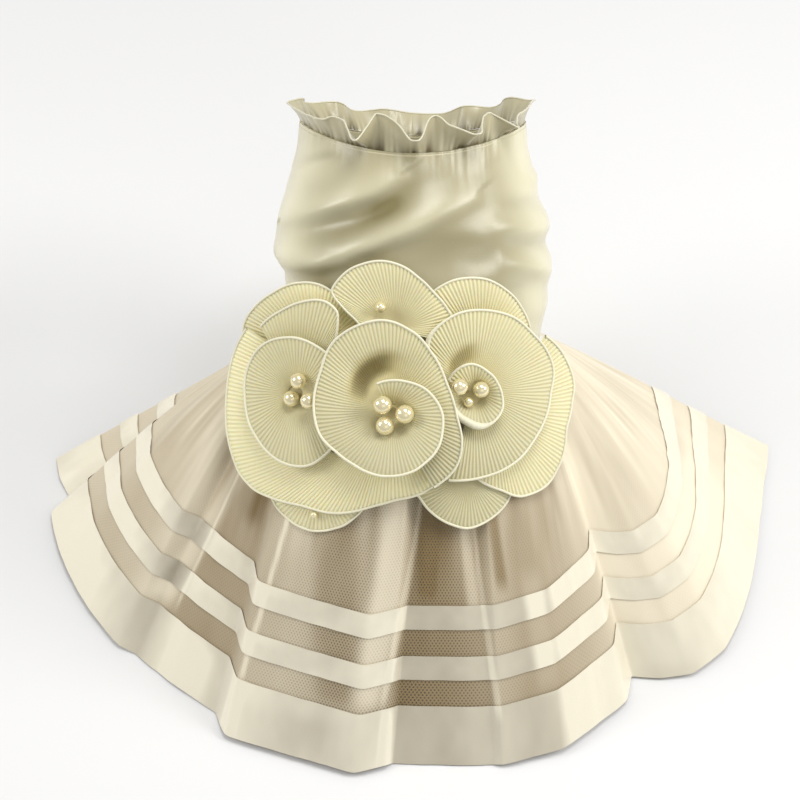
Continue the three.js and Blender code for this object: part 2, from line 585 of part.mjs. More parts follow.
function buildBodice() {
  const outer = bodiceGrid(bodiceAngles, bodiceHeights, 0);
  const inner = bodiceGrid(bodiceAngles, bodiceHeights, -BODICE_WALL);
  let solid = toManifold(wallFromGrids(outer, inner, true));
  for (const side of [-1, 1]) {
    const angle = side * LEG_HOLE_ANGLE * RAD;
    const outward = bodyPoint(Math.sin(angle), 0, Math.cos(angle)).normalize();
    const cutter = new THREE.CylinderGeometry(LEG_HOLE_RADIUS, LEG_HOLE_RADIUS, 50, 16);
    const turn = new THREE.Quaternion().setFromUnitVectors(new THREE.Vector3(0, 1, 0), outward);
    cutter.applyQuaternion(turn);
    const centre = bodyPoint(0, LEG_HOLE_HEIGHT, 0).addScaledVector(outward, BODICE_HALF_WIDTH);
    cutter.translate(centre.x, centre.y, centre.z);
    cutter.deleteAttribute("normal");
    cutter.deleteAttribute("uv");
    solid = solid.subtract(toManifold(weld(cutter)));
  }
  addPiece("bodice", fromManifold(solid), COLOURS.satin);
}

// Joins equal corners so that a stock shape becomes one closed skin
function weld(geometry) {
  const source = geometry.getAttribute("position");
  const indexOf = new Map();
  const points = [];
  const remap = [];
  for (let i = 0; i < source.count; i++) {
    const p = new THREE.Vector3().fromBufferAttribute(source, i);
    const key = `${p.x.toFixed(4)},${p.y.toFixed(4)},${p.z.toFixed(4)}`;
    if (!indexOf.has(key)) {
      indexOf.set(key, points.length);
      points.push(p);
    }
    remap.push(indexOf.get(key));
  }
  const faces = [];
  const index = geometry.getIndex().array;
  for (let i = 0; i < index.length; i += 3) {
    const face = [remap[index[i]], remap[index[i + 1]], remap[index[i + 2]]];
    if (face[0] !== face[1] && face[1] !== face[2] && face[0] !== face[2]) faces.push(face);
  }
  return meshFromFaces(points, faces);
}

// Neck frill: a wavy collar standing on the neck edge
function buildRuffle() {
  const angles = [];
  for (let i = 0; i < RUFFLE_WAVES.length; i++) {
    const here = RUFFLE_WAVES[i];
    const next = RUFFLE_WAVES[(i + 1) % RUFFLE_WAVES.length];
    const end = i === RUFFLE_WAVES.length - 1 ? 180 : next.angle;
    angles.push({ angle: here.angle, lean: here.lean, height: here.height });
    angles.push({
      angle: (here.angle + end) / 2,
      lean: (here.lean + next.lean) / 2 + 0.04,
      height: (here.height + next.height) / 2,
    });
  }
  const levels = [0, 0.3, 0.65, 1];
  const face = (outward) =>
    levels.map((level) =>
      angles.map((wave) => {
        const foot = bodicePoint(wave.angle, 1, 0);
        const away = bodyPoint(Math.sin(wave.angle * RAD), 0, Math.cos(wave.angle * RAD));
        const middle = -BODICE_WALL / 2 + wave.lean * RUFFLE_THROW * level ** 1.4;
        const rise = GAP + wave.height * RUFFLE_HEIGHT * level;
        return foot.addScaledVector(away, middle + outward).addScaledVector(AXIS, rise);
      })
    );
  const geometry = wallFromGrids(face(RUFFLE_WALL / 2), face(-RUFFLE_WALL / 2), true);
  addPiece("neck_ruffle", geometry, COLOURS.satin);
}

// Skirt: rows of points down each fold line, from the waist (0) to the hem (1)
function skirtPoint(fold, share) {
  const waistWidth = BODICE_SECTIONS[1].width * BODICE_HALF_WIDTH + WAIST_CLEARANCE;
  const waistDepth = BODICE_SECTIONS[1].back * BODICE_HALF_DEPTH + WAIST_CLEARANCE;
  const w = fold.waist * RAD;
  const waist = bodyPoint(waistWidth * Math.sin(w), 1.5, waistDepth * Math.cos(w));
  const h = fold.hem * RAD;
  const reach = fold.reach * HEM_RADIUS;
  const hem = new THREE.Vector3(
    HEM_CENTRE_X + reach * Math.sin(h),
    HEM_CENTRE_Y - reach * Math.cos(h),
    HEM_Z + NET_WALL
  );
  const point = new THREE.Vector3().lerpVectors(waist, hem, share);
  const outward = new THREE.Vector3(Math.sin(h) * 0.72, -Math.cos(h) * 0.72, 0.69);
  const bow = Math.sin(Math.PI * share ** 0.85);
  const stand = fold.lift * smooth(Math.min(1, share / 0.4)) * (1 - 0.55 * share);
  return point.addScaledVector(outward, fold.swell * bow + stand);
}

// Rows from the hem up: distances of the ribbon edges from the hem, in mm
const RIBBON_EDGES = [
  0,
  HEM_RIBBON_WIDTH * 0.45,
  HEM_RIBBON_WIDTH,
  HEM_RIBBON_WIDTH + RIBBON_SPACING,
  HEM_RIBBON_WIDTH + RIBBON_SPACING + NARROW_RIBBON_WIDTH,
  HEM_RIBBON_WIDTH + 2 * RIBBON_SPACING + NARROW_RIBBON_WIDTH,
  HEM_RIBBON_WIDTH + 2 * RIBBON_SPACING + 2 * NARROW_RIBBON_WIDTH,
];
const NET_ROWS_ABOVE = [0, 0.1, 0.27, 0.47, 0.72];

// Shares down one fold line at which the net and the ribbons have their rows
function skirtShares(fold) {
  const length = skirtPoint(fold, 0).distanceTo(skirtPoint(fold, 1));
  const edges = RIBBON_EDGES.map((edge) => 1 - edge / length).reverse();
  return [...NET_ROWS_ABOVE.map((share) => share * edges[0]), ...edges];
}

function buildSkirt() {
  const lines = SKIRT_FOLDS.map((fold) => skirtShares(fold).map((share) => skirtPoint(fold, share)));
  const grid = lines[0].map((unused, row) => lines.map((line) => line[row]));
  const normals = gridNormals(grid, false);
  const outward = normals[5][18].dot(new THREE.Vector3(0, -1, 1)) > 0 ? 1 : -1;
  const layer = (distance) => offsetGrid(grid, normals, distance * outward);
  const half = NET_WALL / 2;
  addPiece("skirt_tulle", wallFromGrids(layer(half), layer(-half), false), COLOURS.net);
  const low = half + GAP;
  const high = low + RIBBON_WALL;
  const bands = [
    { name: "ribbon_upper", top: 5, bottom: 6 },
    { name: "ribbon_lower", top: 7, bottom: 8 },
    { name: "ribbon_hem", top: 9, bottom: 11 },
  ];
  for (const band of bands) {
    const outer = layer(high).slice(band.top, band.bottom + 1);
    const inner = layer(low).slice(band.top, band.bottom + 1);
    addPiece(band.name, wallFromGrids(outer, inner, false), COLOURS.ribbon);
  }
}

// Cluster surface: a gentle saddle over the back waist that falls away to both sides. Below the
// waist it keeps a clearance over the straight back line of the skirt at the lowest petals.
const CLUSTER_HEIGHT = BODICE_HALF_DEPTH + CLUSTER_CLEARANCE;
const waistHeight = BODICE_SECTIONS[1].back * BODICE_HALF_DEPTH + WAIST_CLEARANCE;
const hemHeight = new THREE.Vector3(0, HEM_CENTRE_Y - HEM_RADIUS, HEM_Z + NET_WALL).dot(BACK);
const skirtHeight = waistHeight + (hemHeight - waistHeight) * LOWEST_PETAL_SHARE;
const CLUSTER_SKIRT_RISE = skirtHeight + CLUSTER_SKIRT_CLEARANCE - CLUSTER_HEIGHT;

function clusterPoint(x, s, z) {
  const share = (CLUSTER_BLEND_START - s / FLOWER_RADIUS) / CLUSTER_BLEND_LENGTH;
  const over = smooth(Math.min(1, Math.max(0, share)));
  const sag = (CLUSTER_SAG * x * x) / BODICE_HALF_WIDTH;
  return bodyPoint(x, s, CLUSTER_HEIGHT + CLUSTER_SKIRT_RISE * over - sag + z);
}

// Ribbon wound round a centre: rows of the table, read every few degrees
function buildWound(name, centre, rows, step, levels, innerShare, cup = 1.15) {
  const sink = SEATING[name] * FLOWER_RADIUS;
  const sign = Math.sign(rows[rows.length - 1].angle - rows[0].angle);
  const turns = rows.map((row) => ({ ...row, travel: (row.angle - rows[0].angle) * sign }));
  const total = turns[turns.length - 1].travel;
  const count = Math.round(total / step);
  const columns = [];
  for (let i = 0; i <= count; i++) {
    const travel = (total * i) / count;
    const read = (column) => readTable(turns, "travel", column, travel);
    columns.push({
      angle: (rows[0].angle + sign * travel) * RAD,
      rim: read("rim") * FLOWER_RADIUS,
      base: read("base") * FLOWER_RADIUS,
      reach: read("reach") * FLOWER_RADIUS,
      inner: innerShare(travel / 360) * FLOWER_RADIUS,
    });
  }
  const face = (shift) =>
    levels.map((level) =>
      columns.map((column) => {
        const radius = column.inner + (column.reach - column.inner) * level;
        const z = column.base + (column.rim - column.base) * level ** cup + shift - sink;
        const x = centre.x * FLOWER_RADIUS + radius * Math.cos(column.angle);
        const s = centre.s * FLOWER_RADIUS - radius * Math.sin(column.angle);
        return clusterPoint(x, s, z);
      })
    );
  const half = PETAL_WALL / 2;
  addPiece(name, wallFromGrids(face(half), face(-half), false), COLOURS.organza);
}

function buildFlowers() {
  const levels = [0, 0.35, 0.7, 1];
  const opening = (turn) => 0.05 + 0.09 * turn;
  buildWound("flower_centre", CENTRE_MIDDLE, FLOWER_CENTRE_TURNS, WOUND_STEP_DEG, levels, opening, 0.7);
  buildWound("flower_left", LEFT_MIDDLE, FLOWER_LEFT_TURNS, WOUND_STEP_DEG, levels, opening, 0.8);
  buildWound("flower_right", RIGHT_MIDDLE, FLOWER_RIGHT_TURNS, WOUND_STEP_DEG, levels, opening, 0.8);
  const ring = RING_RIM.map((row) => ({ ...row, rim: RING_RIM_HEIGHT, base: RING_BASE_HEIGHT }));
  const ringInner = (turn) => {
    const angle = RING_RIM[0].angle - turn * 360;
    const rows = RING_RIM.map((row) => ({ at: -row.angle, inner: row.inner }));
    return readTable(rows, "at", "inner", -angle);
  };
  buildWound("petal_ring", CENTRE_MIDDLE, ring, RING_STEP_DEG, [0, 0.5, 1], ringInner);
  for (const fan of BACK_FANS) {
    const rows = fan.rims.map((row) => ({ ...row, rim: fan.rim, base: fan.base }));
    buildWound(fan.name, { x: fan.x, s: fan.s }, rows, FAN_STEP_DEG, [0, 0.5, 1], () => fan.inner);
  }
}

// Distance from a point to the skin of a piece already built
function distanceToPiece(name, point) {
  const geometry = group.getObjectByName(name).geometry;
  const position = geometry.getAttribute("position");
  const index = geometry.getIndex().array;
  const corner = (i) => new THREE.Vector3().fromBufferAttribute(position, index[i]);
  const nearest = new THREE.Vector3();
  let least = Infinity;
  for (let i = 0; i < index.length; i += 3) {
    new THREE.Triangle(corner(i), corner(i + 1), corner(i + 2)).closestPointToPoint(point, nearest);
    least = Math.min(least, nearest.distanceTo(point));
  }
  return least;
}

// Lowers each pearl from above until it rests one gap over its carrier
function buildPearls() {
  for (const pearl of PEARLS) {
    const x = pearl.x * FLOWER_RADIUS;
    const s = pearl.s * FLOWER_RADIUS;
    let z = PEARL_DROP_HEIGHT * FLOWER_RADIUS;
    let centre = clusterPoint(x, s, z);
    for (let i = 0; i < 40; i++) {
      const spare = distanceToPiece(pearl.on, centre) - pearl.r - GAP;
      if (spare < 0.01) break;
      z -= spare;
      centre = clusterPoint(x, s, z);
    }
    const geometry = new THREE.SphereGeometry(pearl.r, 12, 7);
    geometry.deleteAttribute("normal");
    geometry.deleteAttribute("uv");
    geometry.translate(centre.x, centre.y, centre.z);
    addPiece(pearl.name, weld(geometry), COLOURS.pearl);
  }
}

// Hidden closing strip along the belly seam, on the bodice
function buildClosure() {
  const step = 360 / BODICE_COLUMNS;
  const angles = [-step, 0, step].map((turn) => 180 + turn);
  const heights = bodiceHeights.slice(2, 10);
  const outer = bodiceGrid(angles, heights, GAP + 1.6);
  const inner = bodiceGrid(angles, heights, GAP);
  addPiece("belly_closure", wallFromGrids(outer, inner, false), COLOURS.closure);
}

buildBodice();
buildRuffle();
buildSkirt();
buildFlowers();
buildPearls();
buildClosure();

export default group;
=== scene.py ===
"""Looks for the dog dress: detailed cloth, organza flowers, pearls, floor, light and camera."""
import math

import bpy
import numpy as np
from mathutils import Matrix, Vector


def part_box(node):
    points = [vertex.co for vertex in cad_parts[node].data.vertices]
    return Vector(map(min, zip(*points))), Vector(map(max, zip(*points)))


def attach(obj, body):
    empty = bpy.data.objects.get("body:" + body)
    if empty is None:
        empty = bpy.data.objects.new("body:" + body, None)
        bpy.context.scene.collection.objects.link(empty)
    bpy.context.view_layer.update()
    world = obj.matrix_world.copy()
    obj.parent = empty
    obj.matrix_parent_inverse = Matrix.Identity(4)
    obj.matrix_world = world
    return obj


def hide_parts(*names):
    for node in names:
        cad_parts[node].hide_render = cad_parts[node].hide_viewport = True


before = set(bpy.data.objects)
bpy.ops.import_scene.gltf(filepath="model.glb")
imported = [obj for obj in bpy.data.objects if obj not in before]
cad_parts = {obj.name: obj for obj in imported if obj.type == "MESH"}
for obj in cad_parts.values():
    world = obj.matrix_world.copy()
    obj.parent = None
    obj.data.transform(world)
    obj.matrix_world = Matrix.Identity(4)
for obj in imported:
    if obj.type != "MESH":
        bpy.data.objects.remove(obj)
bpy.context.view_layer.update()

# Sizes in millimetres, from the same named values as the solids; the hem line is the top of the net wall
MM = 0.001
BODY_TILT = math.radians(50)
BODICE_LENGTH = 81.0
NECK_SCOOP = 9.0
NECK_SHIFT = 1.1
HALF_WIDTH = 56.5
HALF_DEPTH = 61.0
BODICE_WALL = 1.5
LEG_HOLE_RADIUS = 18.0
LEG_HOLE_ANGLE = math.radians(124)
LEG_HOLE_HEIGHT = 50.0
RUFFLE_HEIGHT = 15.0
RUFFLE_THROW = 12.0
HEM_RADIUS = 158.0
HEM_CENTRE = (1.0, 5.0)
NET_WALL = 1.0
HEM_Z = -85.0 + NET_WALL
FLOOR_Z = -85.2
WAIST_CLEARANCE = 1.5
HEM_RIBBON = 25.0
# Back middle where the net's cells show through, darkened by painted shade of the inside: angle, half width
SHADED_SEE_THROUGH_ANGLE = -6.0
SHADED_SEE_THROUGH_WIDTH = 19.0
NARROW_RIBBON = 10.0
RIBBON_SPACING = 11.0
FLOWER_RADIUS = 36.0
CLUSTER_CLEARANCE = 2.0
CLUSTER_SKIRT_CLEARANCE = 10.0
CLUSTER_SAG = 0.328
CLUSTER_BLEND_START = 0.167
CLUSTER_BLEND_LENGTH = 1.278
LOWEST_PETAL_SHARE = 0.36
PLEAT_PITCH = 1.65
COLUMNS_PER_PLEAT = 6
PLEAT_DEPTH = 0.28
RIM_CORD_RADIUS = 0.5
LIP_RADIUS = 1.5
CENTRE_MIDDLE = (-0.211, -0.422)
LEFT_MIDDLE = (-1.222, -0.306)
RIGHT_MIDDLE = (0.681, -0.264)
RING_RIM_HEIGHT = 0.128
RING_BASE_HEIGHT = 0.089

# Millimetres to a radian round the body and to the bodice's full length, near the leg holes
HOLE_ROUND = 57.0
HOLE_LENGTH = 87.0
# Millimetres to a radian for the wrinkles of net and ribbons
NET_ROUND = 90.0
RIBBON_ROUND = 150.0
# Share of the skirt's length over which each band of veil and painted light fades in and out
BAND_FADE = 0.06

SIDE = np.array([1.0, 0.0, 0.0])
AXIS = np.array([0.0, math.cos(BODY_TILT), math.sin(BODY_TILT)])
BACK = np.array([0.0, -math.sin(BODY_TILT), math.cos(BODY_TILT)])

# Bodice sections from waist to neck, as shares: height, width, back depth, belly depth
SECTIONS = np.array([
    (-0.065, 0.945, 0.955, 0.93),
    (0.0, 0.94, 0.955, 0.94),
    (0.1, 0.965, 0.965, 0.96),
    (0.2, 1.0, 0.985, 0.985),
    (0.3, 0.985, 1.0, 1.0),
    (0.4, 1.015, 1.005, 1.0),
    (0.5, 0.975, 0.99, 0.99),
    (0.6, 0.96, 0.97, 0.96),
    (0.7, 0.91, 0.935, 0.92),
    (0.8, 0.865, 0.895, 0.88),
    (0.9, 0.825, 0.85, 0.83),
    (1.0, 0.81, 0.8, 0.79),
])

# Bodice folds: rise in mm, spread below and above the crest in mm, then angle and height along it
FOLDS = [
    (4.2, 4.0, 11.0, [(-68, 0.6), (-52, 0.655), (-41, 0.7), (-29, 0.76), (-18, 0.82), (-8, 0.89)]),
    (4.2, 4.5, 9.0, [(-78, 0.43), (-60, 0.455), (-39, 0.485), (-27, 0.527), (-17, 0.583),
     (-9, 0.635), (11, 0.725), (27, 0.785)]),
    (-1.6, 5.0, 5.0, [(-45, 0.585), (-25, 0.65), (-13, 0.728), (-4, 0.8)]),
    (1.5, 2.2, 3.0, [(-66, 0.39), (-50, 0.413), (-27, 0.482)]),
    (-1.8, 11.0, 11.0, [(-5, 0.5), (15, 0.53), (37, 0.46)]),
    (2.2, 4.0, 4.5, [(38, 0.62), (64, 0.562), (96, 0.54)]),
    (2.4, 4.0, 4.0, [(40, 0.465), (56, 0.41), (73, 0.338), (100, 0.31)]),
    (-1.4, 3.0, 3.0, [(48, 0.7), (66, 0.662), (98, 0.65)]),
    (-1.6, 3.5, 3.5, [(46, 0.51), (71, 0.46), (100, 0.44)]),
    (-1.0, 1.8, 2.4, [(-80, 0.83), (-60, 0.858), (-39, 0.94)]),
    (1.2, 2.6, 2.0, [(-104, 0.34), (-72, 0.3)]),
    (1.2, 2.6, 2.0, [(58, 0.8), (74, 0.76), (100, 0.77)]),
    (-5.5, 11.0, 9.0, [(-125, 0.3), (-88, 0.31), (-66, 0.34)]),
    (1.0, 5.0, 4.0, [(128, 0.28), (170, 0.2)]),
    (1.0, 5.0, 4.0, [(-128, 0.28), (-170, 0.2)]),
]

# Painted light and shade of the bodice folds: how much lighter or darker the satin is painted along a line,
# its reach below and above that line in mm, then angle and height along it
PAINTED_FOLD_LIGHT = [
    (0.26, 4.0, 5.0, [(-66, 0.662), (-50, 0.685), (-39, 0.728), (-29, 0.777), (-20, 0.823),
     (-11, 0.87), (-4, 0.9)]),
    (0.12, 6.0, 9.0, [(-66, 0.82), (-42, 0.86), (-30, 0.87), (-10, 0.93)]),
    (-0.24, 6.0, 5.0, [(-44, 0.57), (-31, 0.623), (-22, 0.667), (-14, 0.728), (-8, 0.772),
     (-3, 0.833), (4, 0.9)]),
    (-0.2, 4.0, 4.5, [(-19, 0.71), (-12, 0.748), (-5, 0.79)]),
    (0.32, 3.6, 4.5, [(-66, 0.453), (-52, 0.48), (-40, 0.478), (-28, 0.522), (-17, 0.583),
     (-9, 0.63), (-1, 0.665), (7, 0.713), (16, 0.76), (28, 0.785)]),
    (-0.14, 10.0, 7.0, [(-10, 0.5), (-1, 0.55), (11, 0.59), (24, 0.575), (38, 0.505), (46, 0.45)]),
    (-0.2, 2.5, 2.5, [(-48, 0.41), (-38, 0.417), (-28, 0.45)]),
    (-0.2, 3.0, 3.0, [(44, 0.715), (58, 0.685), (78, 0.647)]),
    (-0.22, 3.5, 3.5, [(45, 0.51), (57, 0.497), (84, 0.458)]),
    (-0.2, 1.6, 2.2, [(-70, 0.843), (-51, 0.905), (-39, 0.945)]),
]

# Frill waves: angle, outward lean, height share
WAVES = [
    (-180, 0.45, 0.6), (-166, 0.1, 0.7), (-152, 0.55, 0.55), (-138, 0.15, 0.7), (-122, 0.6, 0.55),
    (-108, 0.2, 0.6), (-92, 0.45, 0.5), (-74, 0.3, 0.42), (-56, 0.3, 0.45), (-45, 0.4, 0.5),
    (-39, 0.25, 0.64), (-33.8, 0.3, 0.63), (-28.5, 0.6, 0.44), (-24.5, 0.95, 0.27),
    (-22.3, 1, 0.25), (-21, 0.75, 0.45), (-19.8, 0.35, 0.7), (-18.2, 0.12, 0.93),
    (-14.5, 0.15, 0.92), (-9, 0.3, 0.81), (-5.5, 0.5, 0.66), (-3, 0.75, 0.48), (-0.8, 0.95, 0.36),
    (1.6, 1, 0.36), (3.7, 0.8, 0.5), (5.4, 0.45, 0.73), (7.4, 0.2, 0.87), (10.4, 0.1, 0.92),
    (13.2, 0.15, 0.83), (15.4, 0.35, 0.68), (19, 0.55, 0.57), (22.2, 0.75, 0.46), (24.8, 0.9, 0.38),
    (26.6, 0.95, 0.39), (29.8, 0.6, 0.54), (33.6, 0.25, 0.7), (38.2, 0.1, 0.74), (42.4, 0.15, 0.62),
    (44.6, 0.35, 0.48), (46.2, 0.7, 0.32), (48, 0.8, 0.26), (51.5, 0.5, 0.32), (60, 0.25, 0.45),
    (80, 0.2, 0.5), (94, 0.35, 0.55), (108, 0.6, 0.55), (122, 0.15, 0.7), (138, 0.55, 0.55),
    (152, 0.15, 0.7), (166, 0.55, 0.55),
]

# Skirt fold lines: waist angle, hem angle, hem reach, lift, swell, then how light the net and the
# ribbons look there: layers of net and ribbon veiled by net, with painted light on panels facing the lamps
# and painted shade on recessed ones
SKIRT = np.array([
    (-114, -88.5, 1.01, 0, -1, 0.75, 0.95),
    (-108, -84.5, 0.995, 1, -1, 0.7, 1),
    (-102, -80.5, 0.975, -2, 3, 0.65, 0.85),
    (-97, -77.8, 1.02, 3, 3, 0.7, 1),
    (-91, -72.5, 1.015, 5, 3, 0.65, 1),
    (-84, -67.5, 1.012, 5, 6, 0.55, 1),
    (-78, -62.0, 1.01, 4, 6, 0.55, 0.95),
    (-72, -56.0, 1.006, 3, 6, 0.6, 0.85),
    (-67, -50.6, 1.004, 2, 6, 0.8, 0.65),
    (-63, -47.6, 0.992, -3, 4, 0.55, 0.5),
    (-60, -43.0, 0.985, -2, 4, 0.3, 0.95),
    (-53, -37.0, 0.98, -1, 4, 0.2, 0.85),
    (-45, -31.2, 0.985, -3, 4, 0.25, 0.72),
    (-41, -27.8, 1.02, 4, 4, 0.5, 1),
    (-30, -21.5, 1.007, 4.5, 4, 0.6, 0.8),
    (-18, -15.0, 1.006, 4.5, 4, 0.5, 0.76),
    (-12, -12.4, 1.009, 4.5, 4, 0.44, 0.76),
    (-11, -12.0, 1.01, 4.5, 4, 0.44, 0.78),
    (-4, -8.4, 1.018, 4.5, 4, 0.46, 0.82),
    (3, -4.2, 0.99, 4, 4, 0.38, 0.86),
    (7, -3.0, 0.988, -3, 4, 0.08, 0.5),
    (14, 4.0, 0.993, -2.5, 4, 0.12, 0.5),
    (22, 11.8, 1.012, -3, 4, 0.26, 0.55),
    (26, 13.0, 1.012, 2.5, 4, 0.5, 0.62),
    (36, 17.5, 1.009, 4, 4, 0.34, 0.56),
    (46, 21.8, 1.012, 5, 4, 0.36, 0.62),
    (48, 23.4, 1.006, 5, 4, 0.4, 1.08),
    (50, 28.5, 0.987, 4.5, 4, 0.46, 1.08),
    (54, 34.4, 0.974, 3, 4, 0.58, 0.98),
    (58, 38.0, 0.93, -1, 4, 0.7, 0.85),
    (64, 41.4, 0.985, 0, 4, 0.66, 0.7),
    (69, 45.2, 1.028, 3, 4, 0.68, 0.76),
    (74, 51.3, 1.043, 5, 6, 0.72, 0.88),
    (80, 57.0, 1.03, 5, 6, 0.76, 0.95),
    (86, 63.0, 1.015, 4, 6, 0.82, 1),
    (92, 69.0, 1.0, 3, 5, 0.88, 0.95),
    (98, 76.0, 0.99, 2, 4, 0.8, 1),
    (104, 83.0, 0.995, 1, 3, 0.85, 1),
    (110, 87.5, 1.01, 0.5, 2, 0.85, 1),
    (115, 91, 1.02, 0, 1, 0.85, 1),
])

# Veils and painted light of the skirt: bands where net lies over net and over ribbons, thin lighter
# lines at fold edges, painted highlights and shade on ribbon facets at the hem, and painted shade on
# recessed panels and under the flowers; how much lighter or darker the net and the ribbons look, hem
# angle at the waist and at the hem, half width at the waist and at the hem in degrees, and the shares
# down the skirt where it starts and ends
VEILS_AND_PAINTED_LIGHT = [
    (0.3, -0.3, -38.0, -50.0, 2.6, 2.4, 0.1, 0.84),
    (0.3, 0.25, -40.6, -45.2, 0.35, 0.4, 0.1, 0.83),
    (0.42, 0.2, -22.6, -28.2, 0.45, 0.5, 0.15, 0.88),
    (0.0, 0.5, -24.5, -28.0, 0.3, 1.3, 0.83, 1.05),
    (0.4, 0.14, -2.4, -8.9, 3.6, 2.3, 0.05, 0.87),
    (0.3, 0.3, 0.6, -6.2, 0.6, 0.5, 0.15, 0.87),
    (0.0, 0.5, -5.6, -4.3, 0.3, 0.9, 0.83, 1.05),
    (-0.24, 0.0, -19.0, -10.6, 4.4, 3.4, 0.3, 0.87),
    (0.34, 0.0, 6.5, 12.5, 1.1, 1.5, 0.0, 0.66),
    (-0.16, 0.0, -0.6, 2.0, 2.4, 1.6, 0.05, 0.6),
    (-0.34, 0.0, 12.4, 16.4, 1.0, 1.0, 0.1, 0.58),
    (0.3, 0.3, 9.4, 13.4, 0.5, 0.4, 0.35, 0.9),
    (0.1, 0.5, 17.0, 21.6, 2.0, 1.6, 0.5, 0.86),
    (0.16, 0.1, 36.0, 42.0, 3.0, 3.5, 0.1, 1.0),
    (0.22, 0.0, 66.0, 58.0, 24.0, 20.0, 0.58, 1.0),
    (-0.2, 0.0, -33.5, -36.0, 2.2, 2.0, 0.0, 0.5),
    (0.0, 0.3, -32.0, -38.5, 4.0, 4.0, 0.83, 1.05),
    (0.0, 0.14, -66.0, -66.0, 9.0, 9.0, 0.83, 1.05),
    (0.0, -0.16, -12.0, -16.0, 5.0, 5.0, 0.86, 1.05),
    (0.0, 0.16, -61.0, -62.0, 5.0, 7.0, 0.3, 0.84),
]

# Rosettes: angle clockwise seen from the back, rim reach, rim height, base height, as flower radii
CENTRE_TURNS = [
    (-115, 0.36, 0.4306, 0.1278), (-75, 0.39, 0.4722, 0.125), (-35, 0.47, 0.4861, 0.1194),
    (3, 0.545, 0.4861, 0.1167), (34, 0.575, 0.4861, 0.1139), (60, 0.58, 0.4861, 0.1083),
    (90, 0.6, 0.4722, 0.1056), (120, 0.625, 0.4583, 0.1), (145, 0.69, 0.4583, 0.0972),
    (166, 0.785, 0.4583, 0.0944), (187, 0.82, 0.4583, 0.0917), (208, 0.85, 0.4583, 0.0889),
    (235, 0.975, 0.4444, 0.0861), (260, 1, 0.4167, 0.0833), (285, 0.9, 0.3889, 0.0778),
    (306, 0.76, 0.3611, 0.075), (335, 0.67, 0.3556, 0.0694), (360, 0.69, 0.35, 0.0667),
    (380, 0.79, 0.3389, 0.0639), (401, 0.88, 0.3167, 0.0583), (420, 0.9, 0.2944, 0.0556),
]
LEFT_TURNS = [
    (30, 0.46, 0.2667, 0.1), (0, 0.5, 0.2722, 0.0972), (-35, 0.56, 0.2833, 0.0917),
    (-65, 0.6, 0.3056, 0.0889), (-95, 0.64, 0.3194, 0.0833), (-125, 0.63, 0.3194, 0.0806),
    (-155, 0.6, 0.3194, 0.0778), (-187, 0.58, 0.3194, 0.0722), (-215, 0.62, 0.3194, 0.0694),
    (-245, 0.69, 0.3056, 0.0639), (-275, 0.72, 0.2833, 0.0611), (-300, 0.66, 0.2389, 0.0556),
    (-325, 0.6, 0.2111, 0.0528), (-360, 0.62, 0.1889, 0.05), (-395, 0.58, 0.1944, 0.0444),
    (-412, 0.66, 0.2, 0.0433), (-419, 0.86, 0.2111, 0.0428), (-425, 1.03, 0.2111, 0.0417),
    (-433, 1.07, 0.2111, 0.0403), (-447, 1, 0.2083, 0.0375), (-462, 0.9, 0.2028, 0.0347),
    (-480, 0.8, 0.1944, 0.0333),
]
RIGHT_TURNS = [
    (-150, 0.33, 0.2556, 0.1222), (-105, 0.345, 0.3194, 0.1194), (-60, 0.28, 0.3333, 0.1139),
    (-30, 0.27, 0.3333, 0.1111), (0, 0.29, 0.3333, 0.1056), (35, 0.33, 0.3333, 0.1028),
    (70, 0.335, 0.3167, 0.1), (110, 0.28, 0.2833, 0.0944), (150, 0.27, 0.2333, 0.0917),
    (180, 0.36, 0.2222, 0.0861), (205, 0.5, 0.2056, 0.0833), (235, 0.8, 0.2278, 0.0806),
    (265, 0.89, 0.25, 0.075), (292, 0.9, 0.2556, 0.0722), (322, 0.87, 0.2556, 0.0667),
    (345, 0.88, 0.2556, 0.0639), (367, 0.84, 0.25, 0.0611), (395, 0.84, 0.2444, 0.0556),
    (422, 0.86, 0.2333, 0.0528), (446, 0.88, 0.2111, 0.0472), (468, 0.93, 0.1889, 0.0444),
]
# Lower ring: angle, rim reach, inner reach
RING = [
    (206, 1.74, 1.42), (194, 1.79, 1.36), (180, 1.815, 1.26), (165, 1.86, 1.1), (155, 1.88, 0.96),
    (148, 1.81, 0.84), (141, 1.64, 0.74), (132, 1.44, 0.62), (122, 1.31, 0.56), (111, 1.16, 0.5),
    (98, 1.01, 0.48), (84, 0.94, 0.46), (70, 0.93, 0.46), (57, 0.9, 0.48), (49, 0.92, 0.5),
]
